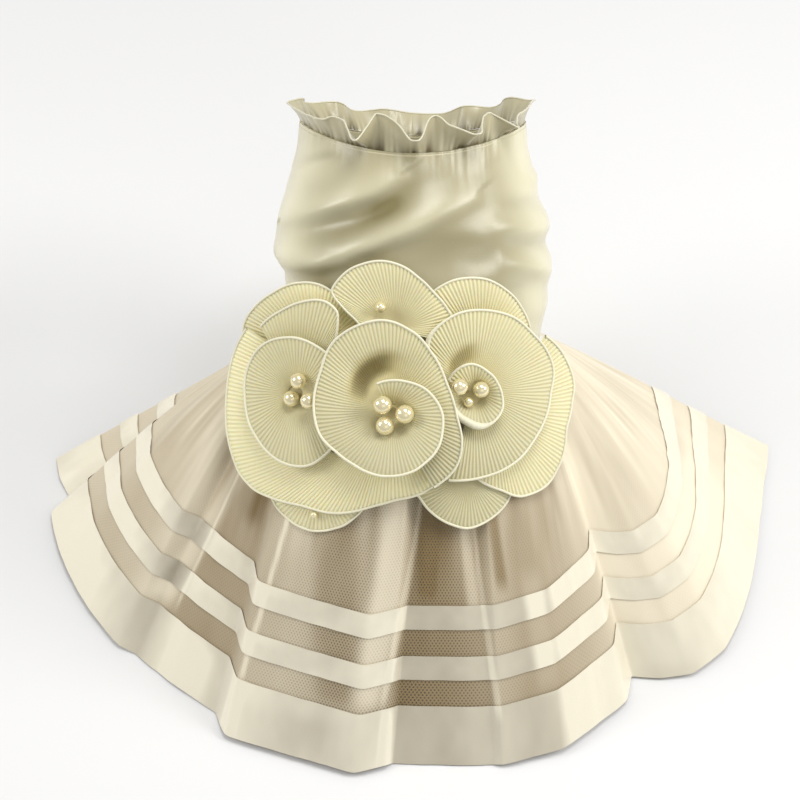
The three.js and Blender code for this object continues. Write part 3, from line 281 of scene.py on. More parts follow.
# Back fans: name, centre x and s, base, rim, inner reach, then angle and reach of each rim point
FANS = [
    ("petal_top", -0.1667, 0.4167, 0.0333, 0.1444, 0.03, [
        (186, 0.36), (195, 0.44), (203, 0.6), (212, 0.79), (222, 0.8), (232, 0.805), (245, 0.785),
        (259, 0.76), (275, 0.7), (296, 0.61), (318, 0.58), (335, 0.595), (348, 0.615), (360, 0.55),
        (372, 0.47)]),
    ("petal_top_left", -1.0278, 0.1389, 0.0222, 0.0611, 0.06, [
        (172, 0.82), (191, 0.82), (200, 0.815), (208, 0.8), (220, 0.775), (234, 0.755), (249, 0.755),
        (261, 0.755), (273, 0.735), (285, 0.695), (298, 0.64), (312, 0.6), (326, 0.59), (345, 0.6),
        (375, 0.55)]),
    ("petal_top_right", 0.75, 0.1944, 0.0194, 0.0889, 0.14, [
        (227, 0.8), (234, 0.815), (244, 0.81), (257, 0.785), (270, 0.75), (287, 0.69), (305, 0.635),
        (322, 0.59), (341, 0.565)]),
    ("petal_right", 0.8889, -0.4444, 0.0222, 0.1361, 0.2, [
        (-52, 0.915), (-42, 0.92), (-25, 0.925), (-9, 0.915), (3, 0.88), (18, 0.87), (31, 0.935),
        (44, 1.015), (57, 1.08), (71, 1.04), (85, 0.885), (101, 0.765), (112, 0.68)]),
    ("petal_bottom_left", -0.9722, -1.1806, 0.0278, 0.0556, 0.1, [
        (178, 0.6), (162, 0.61), (150, 0.62), (136, 0.625), (120, 0.625), (104, 0.61), (88, 0.595),
        (71, 0.575), (55, 0.555), (39, 0.55), (20, 0.56)]),
    ("petal_bottom_right", 0.62, -1.16, 0.0278, 0.0556, 0.03, [
        (235, 0.5), (200, 0.57), (178, 0.6), (168, 0.6), (157, 0.565), (139, 0.55), (121, 0.546),
        (105, 0.558), (90, 0.57), (73, 0.553), (55, 0.543), (38, 0.538), (20, 0.525), (-10, 0.5),
        (-60, 0.45)]),
]
# Round cores under the pearls: radius and height in mm
CORES = {"flower_centre": (7.0, 3.6), "flower_left": (7.5, 2.2), "flower_right": (7.0, 3.6)}
# Painted light and shade on the organza: colour factors at the top, at the bottom and at the left of a
# flower, evening out how the lamps fall
PAINTED_LIGHTNESS = {
    "flower_centre": (1.0, 0.7, 0.76), "flower_left": (0.95, 0.82, 0.86), "flower_right": (1.0, 0.78, 0.85),
    "petal_ring": (1.12, 1.12, 1.12), "petal_bottom_right": (0.85, 0.8, 0.82),
    "petal_top_left": (1.12, 1.3, 0.94),
}
# Hollows: middle and half width round the winding in degrees, middle and half width from the centre
# to the rim as shares, depth in mm, how dark its painted shadow is
CENTRE_HOLLOW = (353.0, 38.0, 0.4, 0.16, 2.5, 1.0)
RIGHT_HOLLOW = (392.0, 28.0, 0.34, 0.14, 1.5, 0.7)
# Stretch of the winding, in degrees, where the rim is folded over to a thick lip
RIGHT_LIP = (200.0, 400.0)
# How deep each piece sits, as flower radii; the top left fan sits higher than its solid, so that its
# waved rim clears the bodice
SEATING = {
    "petal_bottom_left": 0.028, "petal_bottom_right": 0.1163, "petal_right": 0.1484,
    "petal_top_right": 0.1205, "petal_top_left": 0.105, "petal_top": 0.0895,
    "petal_ring": 0.0425, "flower_right": 0.1222, "flower_left": 0.0543,
    "flower_centre": 0.078,
}
PEARLS = [
    "pearl_centre_1", "pearl_centre_2", "pearl_centre_3", "pearl_left_1", "pearl_left_2",
    "pearl_left_3", "pearl_right_1", "pearl_right_2", "pearl_right_small", "bead_top", "bead_bottom",
]


def smooth(q):
    q = np.clip(q, 0.0, 1.0)
    return q * q * (3 - 2 * q)


def curve(xs, ys, at):
    """Smooth curve through the rows of a table, without overshoot."""
    xs = np.asarray(xs, float)
    ys = np.asarray(ys, float)
    at = np.clip(at, xs[0], xs[-1])
    slope = np.diff(ys) / np.diff(xs)
    tangent = np.zeros(len(xs))
    same = slope[:-1] * slope[1:] > 0
    tangent[1:-1] = np.where(same, 2 * slope[:-1] * slope[1:] / (slope[:-1] + slope[1:] + 1e-12), 0)
    tangent[0] = slope[0]
    tangent[-1] = slope[-1]
    i = np.clip(np.searchsorted(xs, at) - 1, 0, len(xs) - 2)
    h = xs[i + 1] - xs[i]
    t = (at - xs[i]) / h
    first = (2 * t**3 - 3 * t**2 + 1) * ys[i] + (t**3 - 2 * t**2 + t) * h * tangent[i]
    return first + (-2 * t**3 + 3 * t**2) * ys[i + 1] + (t**3 - t**2) * h * tangent[i + 1]


def soft_noise(x, y, cell, seed, octaves=3):
    """Smooth value noise over a plane, from -1 to 1."""
    total = np.zeros(np.broadcast(x, y).shape)
    weight = 0.0
    for octave in range(octaves):
        size = cell / 2**octave
        table = np.random.default_rng(seed + octave).uniform(-1, 1, (64, 64))
        u = np.asarray(x, float) / size + 1000
        v = np.asarray(y, float) / size + 1000
        iu = np.floor(u).astype(int)
        iv = np.floor(v).astype(int)
        fu = smooth(u - iu)
        fv = smooth(v - iv)
        a = table[iu % 64, iv % 64]
        b = table[(iu + 1) % 64, iv % 64]
        c = table[iu % 64, (iv + 1) % 64]
        d = table[(iu + 1) % 64, (iv + 1) % 64]
        level = a * (1 - fu) * (1 - fv) + b * fu * (1 - fv) + c * (1 - fu) * fv + d * fu * fv
        total += level / 1.8**octave
        weight += 1 / 1.8**octave
    return total / weight


def body_points(x, s, h):
    return x[..., None] * SIDE + s[..., None] * AXIS + h[..., None] * BACK


def grid_object(name, points, ring=False, keep=None, flip=False, **tones):
    """Mesh of a grid of points in mm, [row, column], with its uv in metres along the cloth."""
    rows, cols = points.shape[:2]
    index = np.arange(rows * cols).reshape(rows, cols)
    right = np.roll(index, -1, axis=1) if ring else index[:, 1:]
    left = index if ring else index[:, :-1]
    faces = np.stack([left[:-1], right[:-1], right[1:], left[1:]], axis=-1).reshape(-1, 4)
    if keep is not None:
        inside = keep.reshape(-1)
        faces = faces[inside[faces].all(axis=1)]
    if flip:
        faces = faces[:, ::-1]
    mesh = bpy.data.meshes.new(name)
    mesh.from_pydata((points.reshape(-1, 3) * MM).tolist(), [], faces.tolist())
    across = np.linalg.norm(np.diff(points, axis=1), axis=2).mean(axis=0)
    down = np.linalg.norm(np.diff(points, axis=0), axis=2).mean(axis=1)
    u = np.concatenate([[0], np.cumsum(across)]) * MM
    v = np.concatenate([[0], np.cumsum(down)]) * MM
    uv = np.stack(np.meshgrid(u, v), axis=-1)
    layer = mesh.uv_layers.new(name="Cloth")
    corner = np.empty(len(mesh.loops), dtype=np.int32)
    mesh.loops.foreach_get("vertex_index", corner)
    flat = uv.reshape(-1, 2)[corner]
    if ring:
        poly = (corner % cols).reshape(-1, 4)
        wraps = (poly.max(axis=1) == cols - 1) & (poly.min(axis=1) == 0)
        seam = (wraps[:, None] & (poly == 0)).reshape(-1)
        flat[seam, 0] = uv[0, -1, 0] + (uv[0, 1, 0] - uv[0, 0, 0])
    layer.data.foreach_set("uv", flat.astype(np.float32).reshape(-1))
    for key, tone in tones.items():
        attribute = mesh.attributes.new(key, "FLOAT", "POINT")
        values = np.broadcast_to(tone, (rows, cols)).reshape(-1)
        attribute.data.foreach_set("value", values.astype(np.float32))
    mesh.polygons.foreach_set("use_smooth", np.ones(len(mesh.polygons), bool))
    mesh.update()
    thing = bpy.data.objects.new(name, mesh)
    bpy.context.collection.objects.link(thing)
    return thing


def tube(name, line, radius, sides=7, ring=False):
    """Round cord along a line of points in mm."""
    line = np.asarray(line, float)
    if ring:
        ahead = np.roll(line, -1, axis=0) - np.roll(line, 1, axis=0)
    else:
        ahead = np.gradient(line, axis=0)
    ahead /= np.linalg.norm(ahead, axis=1)[:, None] + 1e-9
    other = np.cross(ahead, BACK + 0.3 * SIDE)
    other /= np.linalg.norm(other, axis=1)[:, None] + 1e-9
    third = np.cross(ahead, other)
    turn = np.linspace(0, 2 * math.pi, sides, endpoint=False)
    radius = np.broadcast_to(radius, len(line))[:, None, None]
    across = np.cos(turn)[None, :, None] * other[:, None]
    upright = np.sin(turn)[None, :, None] * third[:, None]
    points = line[:, None] + radius * (across + upright)
    if ring:
        points = np.concatenate([points, points[:1]], axis=0)
    return grid_object(name, points, ring=True)


def join(name, things):
    bpy.ops.object.select_all(action="DESELECT")
    for thing in things:
        thing.select_set(True)
    bpy.context.view_layer.objects.active = things[0]
    bpy.ops.object.join()
    things[0].name = name
    things[0].data.name = name
    bpy.ops.object.select_all(action="DESELECT")
    return things[0]


# Materials

def new_material(name):
    material = bpy.data.materials.new(name)
    material.use_nodes = True
    nodes = material.node_tree.nodes
    return material, nodes, material.node_tree.links, nodes["Principled BSDF"]


def math_node(nodes, links, kind, a, b=None):
    node = nodes.new("ShaderNodeMath")
    node.operation = kind
    for socket, value in ((node.inputs[0], a), (node.inputs[1], b)):
        if value is None:
            continue
        if hasattr(value, "is_output"):
            links.new(value, socket)
        else:
            socket.default_value = value
    return node.outputs[0]


def satin_material(name, colour, roughness, weave, sheen, strength, dark=None):
    """Satin: long floats across, a soft sheen and a very fine weave; the shade attribute paints light and
    shade, from dark to colour.
    """
    material, nodes, links, shader = new_material(name)
    shader.inputs["Roughness"].default_value = roughness
    shader.inputs["Sheen Weight"].default_value = sheen
    shader.inputs["Sheen Roughness"].default_value = 0.35
    shader.inputs["Specular IOR Level"].default_value = 0.8
    uv = nodes.new("ShaderNodeUVMap")
    uv.uv_map = "Cloth"
    stretch = nodes.new("ShaderNodeMapping")
    stretch.inputs["Scale"].default_value = (1.0, 5.0, 1.0)
    links.new(uv.outputs[0], stretch.inputs[0])
    threads = nodes.new("ShaderNodeTexNoise")
    threads.inputs["Scale"].default_value = weave
    threads.inputs["Detail"].default_value = 2.0
    links.new(stretch.outputs[0], threads.inputs["Vector"])
    ramp = nodes.new("ShaderNodeMix")
    ramp.data_type = "RGBA"
    ramp.inputs[6].default_value = (*[c * 0.93 for c in colour], 1)
    ramp.inputs[7].default_value = (*[min(1, c * 1.05) for c in colour], 1)
    links.new(threads.outputs[0], ramp.inputs[0])
    surface = ramp.outputs[2]
    if dark:
        shade = nodes.new("ShaderNodeAttribute")
        shade.attribute_name = "shade"
        veil_and_painted_light = nodes.new("ShaderNodeMix")
        veil_and_painted_light.data_type = "RGBA"
        veil_and_painted_light.inputs[6].default_value = (*dark, 1)
        links.new(shade.outputs["Fac"], veil_and_painted_light.inputs[0])
        links.new(surface, veil_and_painted_light.inputs[7])
        surface = veil_and_painted_light.outputs[2]
    links.new(surface, shader.inputs["Base Color"])
    bump = nodes.new("ShaderNodeBump")
    bump.inputs["Strength"].default_value = strength
    bump.inputs["Distance"].default_value = 0.0002
    links.new(threads.outputs[0], bump.inputs["Height"])
    links.new(bump.outputs[0], shader.inputs["Normal"])
    return material


def net_material(name, dark, light, pitch, thread, cell_alpha):
    """Fine net: threads on two slants and across; shade sets how light it looks, from layers of net and
    painted light and shade; weave sets where its cells show through, darkened as painted shade of the
    inside.
    """
    material, nodes, links, shader = new_material(name)
    shade = nodes.new("ShaderNodeAttribute")
    shade.attribute_name = "shade"
    tone = nodes.new("ShaderNodeMix")
    tone.data_type = "RGBA"
    tone.inputs[6].default_value = (*dark, 1)
    tone.inputs[7].default_value = (*light, 1)
    links.new(shade.outputs["Fac"], tone.inputs[0])
    shader.inputs["Roughness"].default_value = 0.7
    shader.inputs["Sheen Weight"].default_value = 0.1
    uv = nodes.new("ShaderNodeUVMap")
    uv.uv_map = "Cloth"
    split = nodes.new("ShaderNodeSeparateXYZ")
    links.new(uv.outputs[0], split.inputs[0])
    lines = []
    for sign in (1.0, -1.0):
        slant = math_node(nodes, links, "MULTIPLY", split.outputs[1], sign * 0.6)
        place = math_node(nodes, links, "ADD", split.outputs[0], slant)
        cell = math_node(nodes, links, "DIVIDE", place, pitch)
        wave = math_node(nodes, links, "PINGPONG", cell, 0.5)
        lines.append(math_node(nodes, links, "LESS_THAN", wave, thread))
    level = math_node(nodes, links, "DIVIDE", split.outputs[1], pitch * 0.83)
    wave = math_node(nodes, links, "PINGPONG", level, 0.5)
    lines.append(math_node(nodes, links, "LESS_THAN", wave, thread * 0.5))
    pair = math_node(nodes, links, "MAXIMUM", lines[0], lines[1])
    mesh = math_node(nodes, links, "MAXIMUM", pair, lines[2])
    bright = nodes.new("ShaderNodeMix")
    bright.data_type = "RGBA"
    bright.blend_type = "MULTIPLY"
    bright.inputs[0].default_value = 1.0
    links.new(tone.outputs[2], bright.inputs[6])
    hole = math_node(nodes, links, "SUBTRACT", 1.0, mesh)
    thin = math_node(nodes, links, "SUBTRACT", 1.0, shade.outputs["Fac"])
    weave = nodes.new("ShaderNodeAttribute")
    weave.attribute_name = "weave"
    # Cells of thin net darken as painted shade of the inside, and turn more see-through
    shaded_holes = math_node(nodes, links, "MULTIPLY", thin, weave.outputs["Fac"])
    deep = math_node(nodes, links, "MULTIPLY", hole, shaded_holes)
    lift = math_node(nodes, links, "MULTIPLY_ADD", deep, -0.62)
    lift.node.inputs[2].default_value = 1.06
    links.new(lift, bright.inputs[7])
    links.new(bright.outputs[2], shader.inputs["Base Color"])
    haze = math_node(nodes, links, "MULTIPLY", deep, cell_alpha - 1)
    alpha = math_node(nodes, links, "ADD", haze, 1.0)
    links.new(alpha, shader.inputs["Alpha"])
    return material


def organza_material(name, colour, valley, deep):
    """Fine pleated organza: pale ridges, and shade paints the pleat valleys yellower and the hollows deep
    gold, both painted shade; a second attribute paints lighter and darker sides to even out the light.
    """
    material, nodes, links, shader = new_material(name)
    shade = nodes.new("ShaderNodeAttribute")
    shade.attribute_name = "shade"
    mix = nodes.new("ShaderNodeMix")
    mix.data_type = "RGBA"
    mix.inputs[6].default_value = (*valley, 1)
    mix.inputs[7].default_value = (*colour, 1)
    links.new(shade.outputs["Fac"], mix.inputs[0])
    hollow_shadow = nodes.new("ShaderNodeMix")
    hollow_shadow.data_type = "RGBA"
    hollow_shadow.inputs[7].default_value = (*deep, 1)
    below = math_node(nodes, links, "MULTIPLY", shade.outputs["Fac"], -1.0)
    links.new(below, hollow_shadow.inputs[0])
    links.new(mix.outputs[2], hollow_shadow.inputs[6])
    glow = nodes.new("ShaderNodeAttribute")
    glow.attribute_name = "glow"
    level = nodes.new("ShaderNodeMix")
    level.data_type = "RGBA"
    level.blend_type = "MULTIPLY"
    level.inputs[0].default_value = 1.0
    links.new(hollow_shadow.outputs[2], level.inputs[6])
    links.new(glow.outputs["Fac"], level.inputs[7])
    links.new(level.outputs[2], shader.inputs["Base Color"])
    shader.inputs["Roughness"].default_value = 0.55
    shader.inputs["Sheen Weight"].default_value = 0.3
    shader.inputs["Subsurface Weight"].default_value = 0.45
    shader.inputs["Subsurface Radius"].default_value = (0.004, 0.003, 0.0015)
    shader.inputs["Subsurface Scale"].default_value = 0.5
    return material


def plain_material(name, colour, roughness, **extra):
    material, nodes, links, shader = new_material(name)
    texture = nodes.new("ShaderNodeTexNoise")
    texture.inputs["Scale"].default_value = extra.pop("grain", 400.0)
    mix = nodes.new("ShaderNodeMix")
    mix.data_type = "RGBA"
    mix.inputs[6].default_value = (*[c * 0.96 for c in colour], 1)
    mix.inputs[7].default_value = (*[min(1, c * 1.03) for c in colour], 1)
    place = nodes.new("ShaderNodeTexCoord")
    links.new(place.outputs["Object"], texture.inputs["Vector"])
    links.new(texture.outputs[0], mix.inputs[0])
    links.new(mix.outputs[2], shader.inputs["Base Color"])
    shader.inputs["Roughness"].default_value = roughness
    for key, value in extra.items():
        shader.inputs[key.replace("_", " ")].default_value = value
    return material


# The dark colours of the satins are painted shade, on the ribbons also the darkening of a net veil
BODICE_SATIN = satin_material("bodice_satin", (0.82, 0.77, 0.54), 0.33, 900.0, 0.35, 0.2,
                              (0.2, 0.165, 0.06))
FRILL_SATIN = satin_material("frill_satin", (0.6, 0.55, 0.36), 0.33, 900.0, 0.35, 0.2,
                             (0.13, 0.1, 0.04))
EDGE_SATIN = satin_material("edge_satin", (0.6, 0.55, 0.36), 0.35, 900.0, 0.35, 0.2)
HEM_SATIN = satin_material("frill_hem_satin", (0.72, 0.68, 0.50), 0.4, 900.0, 0.3, 0.1)
RIBBON_SATIN = satin_material("ribbon_satin", (0.90, 0.84, 0.67), 0.26, 1200.0, 0.25, 0.18,
                              (0.2, 0.16, 0.1))
# The net's dark end is painted shade of the dim inside seen through it
NET = net_material("skirt_net", (0.23, 0.155, 0.06), (0.84, 0.76, 0.59), 0.0012, 0.2, 0.7)
# The organza's valley and deep colours are painted shade
ORGANZA = organza_material("organza", (0.84, 0.79, 0.51), (0.68, 0.6, 0.31), (0.2, 0.15, 0.03))
CORD = plain_material("organza_cord", (0.86, 0.82, 0.62), 0.5)
PEARL = plain_material("pearl", (0.94, 0.84, 0.53), 0.18, grain=60.0, Metallic=0.55, Coat_Weight=1.0,
                       Coat_Roughness=0.05, Specular_IOR_Level=0.8)
CLOSURE = plain_material("closure_strip", (0.70, 0.66, 0.52), 0.85, grain=2500.0)
FLOOR = plain_material("floor", (0.81, 0.81, 0.81), 0.9, grain=3.0)


def finish_piece(thing, material, slot, *nodes):
    thing.data.materials.clear()
    thing.data.materials.append(material)
    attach(thing, "root")
    if nodes:
        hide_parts(*nodes)
    return thing


# Bodice

def fold_rise(px, py, lift, below, above, line):
    """Rise of one fold at places px, py in mm round and along the bodice."""
    ax = np.array([math.radians(a) * HALF_WIDTH for a, _ in line])
    ay = np.array([h * BODICE_LENGTH for _, h in line])
    nearest = np.full(np.broadcast(px, py).shape, 1e9)
    offset = np.zeros_like(nearest)
    share = np.zeros_like(nearest)
    for i in range(len(line) - 1):
        dx = ax[i + 1] - ax[i]
        dy = ay[i + 1] - ay[i]
        along = np.clip(((px - ax[i]) * dx + (py - ay[i]) * dy) / (dx * dx + dy * dy), 0, 1)
        away = np.hypot(px - ax[i] - dx * along, py - ay[i] - dy * along)
        side = np.where((py - ay[i]) * dx - (px - ax[i]) * dy > 0, 1.0, -1.0)
        closer = away < nearest
        nearest = np.where(closer, away, nearest)
        offset = np.where(closer, side, offset)
        share = np.where(closer, (i + along) / (len(line) - 1), share)
    spread = np.where(offset > 0, above, below)
    taper = np.sin(math.pi * (0.12 + 0.76 * share))
    return lift * taper * np.exp(-((nearest / spread) ** 2))


def bodice_painted_light(angle, height):
    """Painted light and shade of the satin: painted light round both sides and on the fold ridges, painted
    shade in the hollows.
    """
    px = angle * HALF_WIDTH
    py = height * BODICE_LENGTH
    sides = smooth((np.abs(angle) - math.radians(30)) / math.radians(38))
    tone = 0.34 + 0.56 * sides + sum(fold_rise(px, py, *line) for line in PAINTED_FOLD_LIGHT)
    return np.clip(tone + 0.04 * soft_noise(px, py, 14.0, 15, 2), 0.0, 1.0)


def bodice_points(angle, height, outward, relief=1.0):
    """angle in radians round the body from the back centre, height as a share."""
    width = curve(SECTIONS[:, 0], SECTIONS[:, 1], height) * HALF_WIDTH
    back = curve(SECTIONS[:, 0], SECTIONS[:, 2], height) * HALF_DEPTH
    belly = curve(SECTIONS[:, 0], SECTIONS[:, 3], height) * HALF_DEPTH
    lean = np.cos(angle)
    blend = smooth(lean * 2 + 0.5)
    depth = back * blend + belly * (1 - blend)
    grow = outward
    if relief:
        px = angle * HALF_WIDTH
        py = height * BODICE_LENGTH
        rise = sum(fold_rise(px, py, *fold) for fold in FOLDS)
        edge = smooth((height - 0.08) / 0.2) * smooth((1.04 - height) / 0.16)
        rise = rise * edge
        drift = soft_noise(px * 0.55 - py * 0.7, py * 1.3 + px * 0.25, 22.0, 5, 3)
        rise += 0.5 * drift * edge
        near_neck = np.exp(-((1 - height) * BODICE_LENGTH / 8.0) ** 1.3)
        right_back = np.exp(-(((angle - 0.45) / 0.35) ** 2))
        gathers = soft_noise(px, py * 0.12, 3.2, 21, 2)
        rise += gathers * (0.25 + 0.9 * right_back) * near_neck
        near_waist = np.exp(-np.abs(height) * BODICE_LENGTH / 14.0)
        rise += 0.6 * soft_noise(px, py * 0.12, 5.0, 31, 2) * near_waist
        grow = grow + relief * rise
    length = BODICE_LENGTH + NECK_SCOOP * np.sin(angle) ** 2
    x = (width + grow) * np.sin(angle) + NECK_SHIFT * height
    return body_points(x, height * length, (depth + grow) * lean)


def hole_distance(points, side):
    """Distance of points from the axis of one leg hole."""
    angle = side * LEG_HOLE_ANGLE
    outward = SIDE * math.sin(angle) + BACK * math.cos(angle)
    away = points - AXIS * LEG_HOLE_HEIGHT
    along = away @ outward
    return np.where(along > 0, np.linalg.norm(away - along[..., None] * outward, axis=-1), 99.0)


def build_bodice():
    angles = np.radians(np.linspace(-180, 180, 361)[:-1])
    heights = np.linspace(-0.065, 1.0, 100)
    a, h = np.meshgrid(angles, heights)
    outer = bodice_points(a, h, 0.0)
    inner = bodice_points(a[::2, ::2], h[::2, ::2], -BODICE_WALL, 0.7)
    things = []
    for name, points, flip in (("bodice_out", outer, False), ("bodice_in", inner, True)):
        right = hole_distance(points, 1) > LEG_HOLE_RADIUS
        left = hole_distance(points, -1) > LEG_HOLE_RADIUS
        # Painted light and shade on the outside; the inside wall gets an even middle level of it
        tone = bodice_painted_light(a, h) if name == "bodice_out" else np.full(points.shape[:2], 0.5)
        things.append(grid_object(name, points, ring=True, keep=right & left, flip=flip, shade=tone))
    body = join("bodice_cloth", things)
    finish_piece(body, BODICE_SATIN, "bodice_satin", "bodice")
    edges = []
    for height, radius in ((-0.06, 0.9), (0.985, 0.62)):
        line = bodice_points(angles, np.full_like(angles, height), -0.55)
        edges.append(tube(f"edge_{height}", line, radius, ring=True))
    for side in (1, -1):
        middle = side * LEG_HOLE_ANGLE
        turn = np.linspace(0, 2 * math.pi, 97)[:-1]
        angle = middle + LEG_HOLE_RADIUS * np.cos(turn) / HOLE_ROUND
        height = LEG_HOLE_HEIGHT / HOLE_LENGTH + LEG_HOLE_RADIUS * np.sin(turn) / HOLE_LENGTH
        for _ in range(12):
            line = bodice_points(angle, height, -0.7)
            gap = hole_distance(line, side) - LEG_HOLE_RADIUS
            angle = angle - gap * np.cos(turn) / HOLE_ROUND
            height = height - gap * np.sin(turn) / HOLE_LENGTH
        edges.append(tube(f"hole_{side}", line, 1.35, ring=True))
    trim = join("bodice_edges", edges)
    finish_piece(trim, EDGE_SATIN, "bodice_satin")


# Neck frill

def build_ruffle():
    count = 900
    angles = np.linspace(-180, 180, count + 1)[:-1]
    key = [w[0] for w in WAVES] + [180]
    lean = curve(key, [w[1] for w in WAVES] + [WAVES[0][1]], angles)
    tall = curve(key, [w[2] for w in WAVES] + [WAVES[0][2]], angles)
    round_off = np.array([1, 3, 5, 6, 5, 3, 1]) / 24.0
    lean = np.convolve(np.pad(lean, 3, mode="wrap"), round_off, mode="valid")
    tall = np.convolve(np.pad(tall, 3, mode="wrap"), round_off, mode="valid")
    levels = np.linspace(0, 1, 22)
    a, level = np.meshgrid(np.radians(angles), levels)
    foot = bodice_points(a, np.ones_like(a), 0.0)
    away = np.sin(a)[..., None] * SIDE + np.cos(a)[..., None] * BACK
    px = a * HALF_WIDTH
    gather = soft_noise(px, level * 2, 2.8, 77, 2) * 0.65 * np.exp(-level * 3.0)
    flute = soft_noise(px, level * 3, 6.5, 91, 2) * 0.9 * level
    middle = -BODICE_WALL / 2 + lean * RUFFLE_THROW * level**1.4 + gather + flute
    rise = 0.1 + tall * RUFFLE_HEIGHT * level + 0.25 * gather
    points = foot + away * middle[..., None] + AXIS * rise[..., None]
    # Painted shade on the frill: dark creases of the gathers at the foot, and darker where it leans out
    near_foot = np.exp(-level * 2.6)
    gather_shade = (1.1 * soft_noise(px, level * 0.6, 2.6, 77, 2) - 0.35) * near_foot
    tone = 0.92 + gather_shade - 0.12 * smooth(lean * 1.2)
    frill = grid_object("ruffle_cloth", points, ring=True, shade=np.clip(tone, 0, 1))
    finish_piece(frill, FRILL_SATIN, "bodice_satin", "neck_ruffle")
    hem = tube("ruffle_hem", points[-1], 0.34, sides=6, ring=True)
    finish_piece(hem, HEM_SATIN, "bodice_satin")


# Skirt

def skirt_lines(steps=14):
    """Fine lines between the rows of the table: flat panels with softly rounded creases."""
    rows = len(SKIRT)
    at = np.linspace(0, rows - 1, (rows - 1) * steps + 1)
    fine = [np.interp(at, np.arange(rows), SKIRT[:, k]) for k in range(SKIRT.shape[1])]
    kernel = np.array([1, 2, 3, 2, 1]) / 9.0
    soft = [np.convolve(np.pad(line, 2, mode="edge"), kernel, mode="valid") for line in fine]
    return soft[:5] + fine[5:]


def skirt_points(share, lines, ripple=1.0):
    """Points of the skirt for an array of shares down each line, [row, column]."""
    waist, hem, reach, lift, swell = lines[:5]
    w = np.radians(waist)[None]
    h = np.radians(hem)[None]
    width = SECTIONS[1, 1] * HALF_WIDTH + WAIST_CLEARANCE
    depth = SECTIONS[1, 2] * HALF_DEPTH + WAIST_CLEARANCE
    start = body_points(width * np.sin(w), np.full_like(w, 1.5), depth * np.cos(w))
    radius = reach[None] * HEM_RADIUS
    end = np.stack([HEM_CENTRE[0] + radius * np.sin(h), HEM_CENTRE[1] - radius * np.cos(h),
                    np.full_like(h, HEM_Z)], axis=-1)
    outward = np.stack([np.sin(h) * 0.72, -np.cos(h) * 0.72, np.full_like(h, 0.69)], axis=-1)
    share = np.broadcast_to(share, (share.shape[0], len(waist)))
    bow = np.sin(math.pi * share**0.85)
    stand = lift[None] * smooth(share / 0.4) * (1 - 0.55 * share)
    px = np.radians(hem)[None] * NET_ROUND
    fine = soft_noise(px + 0 * share, share * 14, 5.0, 41, 2) * 1.1
    fine = fine * np.sin(math.pi * share**0.6) * (1 - share)
    broad = soft_noise(px + 0 * share, share * 30, 26.0, 57, 2) * 1.3 * np.sin(math.pi * share)
    flow = swell[None] * bow + stand + ripple * (fine + broad)
    return start * (1 - share[..., None]) + end * share[..., None] + outward * flow[..., None]


def grid_normals(points):
    down = np.gradient(points, axis=0)
    across = np.gradient(points, axis=1)
    normal = np.cross(across, down)
    normal /= np.linalg.norm(normal, axis=-1)[..., None] + 1e-9
    if normal[:, :, 2].mean() < 0:
        normal = -normal
    return normal


def veil_and_painted_light(angle, share, column):
    """Veils and painted light and shade in bands over the skirt: column 0 for the net, 1 for the ribbons.
    """
    total = 0 * angle * share
    for *tones, top_angle, hem_angle, top_width, hem_width, start, end in VEILS_AND_PAINTED_LIGHT:
        middle = top_angle + (hem_angle - top_angle) * share
        width = top_width + (hem_width - top_width) * share
        band = np.exp(-(((angle - middle) / width) ** 4))
        band = tones[column] * band * smooth((share - start) / BAND_FADE)
        total = total + band * smooth((end - share) / BAND_FADE)
    return total


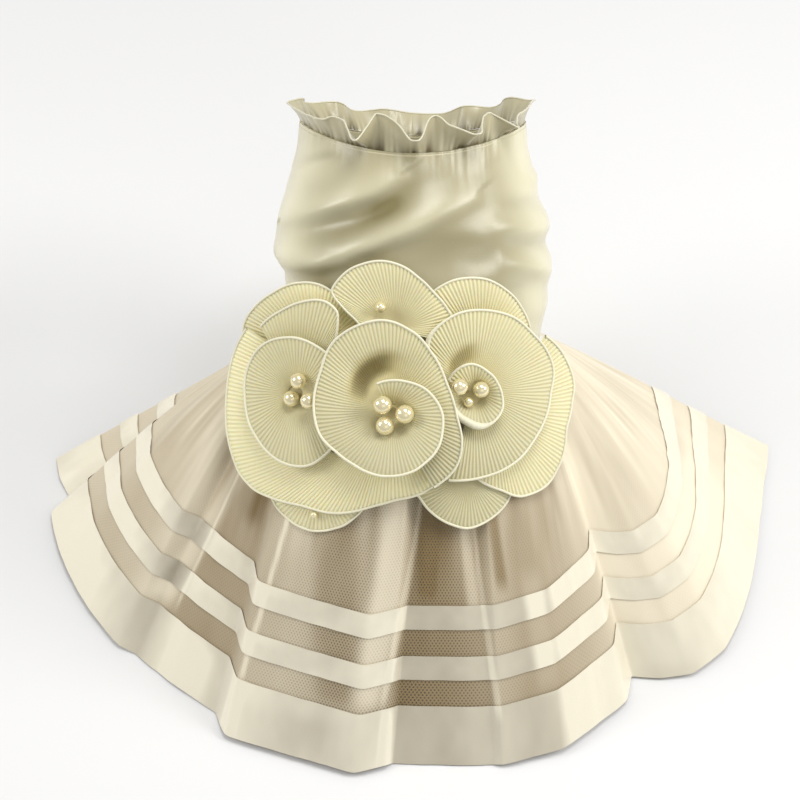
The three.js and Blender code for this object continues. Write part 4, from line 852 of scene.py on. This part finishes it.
def build_skirt():
    lines = skirt_lines()
    ends = skirt_points(np.array([[0.0], [1.0]]), lines, 0.0)
    length = np.linalg.norm(ends[1] - ends[0], axis=-1)
    down = np.linspace(0, 1, 110)[:, None] * np.ones_like(length)[None]
    points = skirt_points(down, lines)
    angle = np.radians(lines[1])[None]
    cloud = soft_noise(angle * NET_ROUND, down * 60, 18.0, 71, 3)
    # Net tone: layers of net, random cloud, lighter towards the waist, and painted light and shade
    tone = lines[5][None] + 0.12 * cloud + 0.1 * (1 - down) - 0.05 + veil_and_painted_light(lines[1][None], down, 0)
    gathers = soft_noise(angle * NET_ROUND, down * 10, 3.0, 67, 2) * np.exp(-(((down - 0.3) / 0.2) ** 2))
    tone = np.clip(tone + 0.22 * gathers, 0, 1)
    # At the back middle the cells of thin net show through, darkened by painted shade of the inside
    shaded_see_through = 0.2 + 0.8 * np.exp(-(((lines[1][None] - SHADED_SEE_THROUGH_ANGLE) / SHADED_SEE_THROUGH_WIDTH) ** 4))
    net = grid_object("skirt_net", points, shade=tone, weave=shaded_see_through)
    finish_piece(net, NET, "skirt_tulle", "skirt_tulle")
    bands = [
        ("ribbon_upper", HEM_RIBBON + 2 * RIBBON_SPACING + 2 * NARROW_RIBBON, NARROW_RIBBON, 7),
        ("ribbon_lower", HEM_RIBBON + RIBBON_SPACING + NARROW_RIBBON, NARROW_RIBBON, 7),
        ("ribbon_hem", HEM_RIBBON, HEM_RIBBON, 16),
    ]
    for name, top, wide, rows in bands:
        local = np.linspace(0, 1, rows)[:, None]
        share = 1 - (top - wide * local) / length[None]
        band = skirt_points(share, lines)
        along = angle * RIBBON_ROUND + 0 * share
        pucker = soft_noise(along, local * 3 + 0 * share, 7.0, 63, 2) * 0.25
        band = band + grid_normals(band) * (0.5 + pucker)[..., None]
        # Ribbon tone: veiled by net, with painted sheen on facets facing the lamps and painted shade on
        # recessed ones
        tone = lines[6][None] + veil_and_painted_light(lines[1][None], share, 1)
        # The noise adds painted sheen spots along the ribbon
        tone = tone + 0.14 * soft_noise(along, local * 12, 12.0, 83, 3)
        thing = grid_object(f"{name}_satin", band, shade=tone)
        finish_piece(thing, RIBBON_SATIN, "ribbon_satin", name)


# Flowers

def cluster_points(x, s, z):
    """Points over the cluster surface, for places across and along the body in mm."""
    height = HALF_DEPTH + CLUSTER_CLEARANCE
    waist = SECTIONS[1, 2] * HALF_DEPTH + WAIST_CLEARANCE
    hem = np.array([0, HEM_CENTRE[1] - HEM_RADIUS, HEM_Z]) @ BACK
    skirt = waist + (hem - waist) * LOWEST_PETAL_SHARE
    rise = skirt + CLUSTER_SKIRT_CLEARANCE - height
    over = smooth((CLUSTER_BLEND_START * FLOWER_RADIUS - s) / (CLUSTER_BLEND_LENGTH * FLOWER_RADIUS))
    h = height + rise * over - CLUSTER_SAG * x * x / HALF_WIDTH + z
    return body_points(x, s, h)


def read_turns(rows):
    """Rows of (angle, reach, ...) read so that every pleat has the same width along the rim."""
    rows = np.array(rows, float)
    travel = np.abs(rows[:, 0] - rows[0, 0])
    sign = np.sign(rows[-1, 0] - rows[0, 0])
    fine = np.linspace(0, travel[-1], 2000)
    reach = curve(travel, rows[:, 1], fine) * FLOWER_RADIUS
    turn = np.radians(fine)
    step = np.hypot(np.diff(reach), np.diff(turn) * (reach[1:] + reach[:-1]) / 2)
    run = np.concatenate([[0], np.cumsum(step)])
    pleats = int(run[-1] / PLEAT_PITCH)
    phase = np.arange(pleats * COLUMNS_PER_PLEAT + 1) / COLUMNS_PER_PLEAT
    at = np.interp(phase / pleats * run[-1], run, fine)
    columns = [curve(travel, rows[:, k], at) * FLOWER_RADIUS for k in range(1, rows.shape[1])]
    return at, np.radians(rows[0, 0] + sign * at), phase, columns


def core_disc(name, centre, sink):
    """Small round of organza under a group of pearls, painted darker towards its middle as shade between
    the pearls.
    """
    radius, drop = CORES[name]
    turns = np.radians(np.linspace(0, 360, 37)[:-1])
    share, turn = np.meshgrid(np.linspace(0.02, 1, 8), turns, indexing="ij")
    x = centre[0] * FLOWER_RADIUS + radius * share * np.cos(turn)
    s = centre[1] * FLOWER_RADIUS - radius * share * np.sin(turn)
    points = cluster_points(x, s, drop - sink + 0 * x)
    return grid_object(f"{name}_core", points, ring=True, shade=0.2 - 0.8 * (1 - share), glow=0.9)


def build_wound(name, centre, turns, rim, base, inner, cup, seed, lift, lip=None, dip=None):
    """Pleated ribbon wound round a centre, with a corded rim; heights and reaches in mm."""
    travel, angle, phase, (reach, *_) = turns
    sink = SEATING[name] * FLOWER_RADIUS
    level = (np.linspace(0, 1, 26) ** 0.85)[:, None]
    run = travel[None] * 0.35 + 0 * level
    wave = soft_noise(run, level * 0, 9.0, seed, 2)
    radius = inner + (reach[None] - inner) * level
    radius = radius * (1 + 0.015 * wave * level**2)
    z = base + (rim - base) * level**cup + lift * wave * level**2
    z = z + 0.5 * np.sin(math.pi * level) - 0.7 * level**9 - sink
    saw = np.abs((phase[None] % 1.0) - 0.5) * 2.0
    pitch = PLEAT_PITCH * radius / np.maximum(reach[None], 1.0)
    z = z + (saw - 0.5) * PLEAT_DEPTH * pitch * smooth(level * 4 + 0.2)
    shadow = 0 * z
    # A hollow: lowered, and painted dark as its shadow
    if dip:
        at, width, where, spread, depth, strength = dip
        middle = where + 0.0012 * (travel[None] - at)
        shadow = np.exp(-(((travel[None] - at) / width) ** 4) - ((level - middle) / spread) ** 4)
        z = z - depth * shadow
        shadow = shadow * strength
    x = centre[0] * FLOWER_RADIUS + radius * np.cos(angle)
    s = centre[1] * FLOWER_RADIUS - radius * np.sin(angle)
    points = cluster_points(x, s, z)
    # Painted shade: darker towards the centre of the winding and in the pleat valleys, painted shadow in
    # the hollow
    depth = 0.6 + 0.4 * smooth(level * 1.6)
    # Painted light and shade by side of the flower
    top, down, left = PAINTED_LIGHTNESS.get(name, (1.0, 1.0, 1.0))
    upward = (top - down) * (1 - np.sin(angle)) / 2
    leftward = (left - (top + down) / 2) * np.clip(-np.cos(angle), 0, 1)
    glow = down + upward + leftward
    shade = np.clip(0.25 + 0.75 * saw**0.8, 0, 1) * depth * (1 - shadow) - 0.9 * shadow
    petal = grid_object(f"{name}_cloth", points, shade=shade, glow=glow[None])
    if name in CORES:
        petal = join(f"{name}_cloth", [petal, core_disc(name, centre, sink)])
    finish_piece(petal, ORGANZA, "flower_organza", name)
    line = points[-1] + 0.12 * BACK
    half = COLUMNS_PER_PLEAT // 2
    even = np.ones(2 * half + 1) / (2 * half + 1)
    padded = np.pad(line, ((half, half), (0, 0)), mode="edge")
    line = np.stack([np.convolve(padded[:, k], even, mode="valid") for k in range(3)], axis=1)
    radius = RIM_CORD_RADIUS
    if lip:
        start, end = lip
        ramp = smooth((travel - start) / 40.0) * smooth((end - travel) / 40.0)
        radius = RIM_CORD_RADIUS + (LIP_RADIUS - RIM_CORD_RADIUS) * ramp
        line = line - BACK * (0.6 * (radius - RIM_CORD_RADIUS))[:, None]
    cord = tube(f"{name}_rim", line, radius, sides=8)
    finish_piece(cord, CORD, "flower_organza")


def build_flowers():
    wound = [
        ("flower_centre", CENTRE_MIDDLE, CENTRE_TURNS, 0.7, 3, None, CENTRE_HOLLOW),
        ("flower_left", LEFT_MIDDLE, LEFT_TURNS, 0.8, 4, None, None),
        ("flower_right", RIGHT_MIDDLE, RIGHT_TURNS, 0.8, 5, RIGHT_LIP, RIGHT_HOLLOW),
    ]
    for name, centre, rows, cup, seed, lip, dip in wound:
        turns = read_turns(rows)
        rim, base = turns[3][1:]
        inner = (0.05 + 0.09 * turns[0][None] / 360.0) * FLOWER_RADIUS
        build_wound(name, centre, turns, rim[None], base[None], inner, cup, seed, 0.4, lip, dip)
    turns = read_turns(RING)
    build_wound("petal_ring", CENTRE_MIDDLE, turns, RING_RIM_HEIGHT * FLOWER_RADIUS,
                RING_BASE_HEIGHT * FLOWER_RADIUS, turns[3][1][None], 1.15, 6, 0.5)
    for number, (name, x, s, base, rim, inner, rows) in enumerate(FANS):
        turns = read_turns(rows)
        build_wound(name, (x, s), turns, rim * FLOWER_RADIUS, base * FLOWER_RADIUS,
                    inner * FLOWER_RADIUS, 1.15, 20 + number, 0.5)


def build_pearls():
    for name in PEARLS:
        low, high = (np.array(corner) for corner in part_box(name))
        centre = (low + high) / 2
        radius = float((high - low).max()) / 2
        bpy.ops.mesh.primitive_uv_sphere_add(segments=48, ring_count=24, radius=radius, location=centre)
        pearl = bpy.context.object
        pearl.name = f"{name}_gloss"
        bpy.ops.object.transform_apply(location=True, rotation=True, scale=True)
        for face in pearl.data.polygons:
            face.use_smooth = True
        finish_piece(pearl, PEARL, "pearl", name)


def build_closure():
    angles = np.radians(np.linspace(180 - 8.0, 180 + 8.0, 25))
    heights = np.linspace(0.105, 0.795, 60)
    a, h = np.meshgrid(angles, heights)
    edge = np.minimum(np.minimum(1, (1 - np.abs(np.linspace(-1, 1, 25))[None]) * 9),
                      (1 - np.abs(np.linspace(-1, 1, 60))[:, None]) * 22)
    strip = bodice_points(a, h, 0.35 + 1.3 * smooth(edge), 0.4)
    thing = grid_object("closure_strip", strip)
    finish_piece(thing, CLOSURE, "closure", "belly_closure")


build_bodice()
build_ruffle()
build_skirt()
build_flowers()
build_pearls()
build_closure()

# Floor, light and camera
bpy.ops.mesh.primitive_plane_add(size=8, location=(0, 0, FLOOR_Z * MM))
floor = bpy.context.object
floor.name = "floor"
floor.data.materials.append(FLOOR)

world = bpy.data.worlds.new("studio")
bpy.context.scene.world = world
world.use_nodes = True
world.node_tree.nodes["Background"].inputs[0].default_value = (1.0, 1.0, 1.0, 1)
world.node_tree.nodes["Background"].inputs[1].default_value = 0.46


def area_light(name, place, aim, size, power, colour=(1, 1, 1)):
    data = bpy.data.lights.new(name, "AREA")
    data.shape = "RECTANGLE"
    data.size = size[0]
    data.size_y = size[1]
    data.energy = power
    data.color = colour
    lamp = bpy.data.objects.new(name, data)
    bpy.context.collection.objects.link(lamp)
    lamp.location = place
    lamp.rotation_euler = (Vector(aim) - Vector(place)).to_track_quat("-Z", "Y").to_euler()
    return lamp


area_light("right", (0.95, -0.10, 0.70), (0.0, -0.03, -0.02), (0.5, 0.5), 6.5, (1.0, 0.99, 0.97))
area_light("left", (-0.95, -0.05, 0.60), (0.0, -0.03, -0.02), (0.4, 0.5), 4.0, (1.0, 0.99, 0.97))
area_light("front", (0.3, -0.95, 0.75), (0.0, -0.03, -0.02), (0.8, 0.6), 0.7, (1.0, 0.99, 0.97))
area_light("top", (0.15, 0.10, 1.05), (0.0, 0.0, 0.0), (0.5, 0.35), 4.5)

ELEVATION = math.radians(52)
VIEW_DISTANCE = 0.784
PHOTO_PIXELS = 800
METRES_PER_PIXEL = 0.000415
AIM_RIGHT_PIXELS = -10
AIM_DOWN_PIXELS = 60
look = Vector((0, math.cos(ELEVATION), -math.sin(ELEVATION)))
up = Vector((0, math.sin(ELEVATION), math.cos(ELEVATION)))
aim_right = Vector((AIM_RIGHT_PIXELS * METRES_PER_PIXEL, 0, 0))
target = aim_right - up * (AIM_DOWN_PIXELS * METRES_PER_PIXEL)
camera_data = bpy.data.cameras.new("camera")
camera_data.sensor_width = 36
camera_data.lens = camera_data.sensor_width * VIEW_DISTANCE / (PHOTO_PIXELS * METRES_PER_PIXEL)
camera_data.clip_start = 0.01
camera = bpy.data.objects.new("camera", camera_data)
bpy.context.collection.objects.link(camera)
camera.location = target - look * VIEW_DISTANCE
camera.rotation_euler = look.to_track_quat("-Z", "Y").to_euler()
bpy.context.scene.camera = camera
bpy.context.scene.view_settings.view_transform = "Standard"
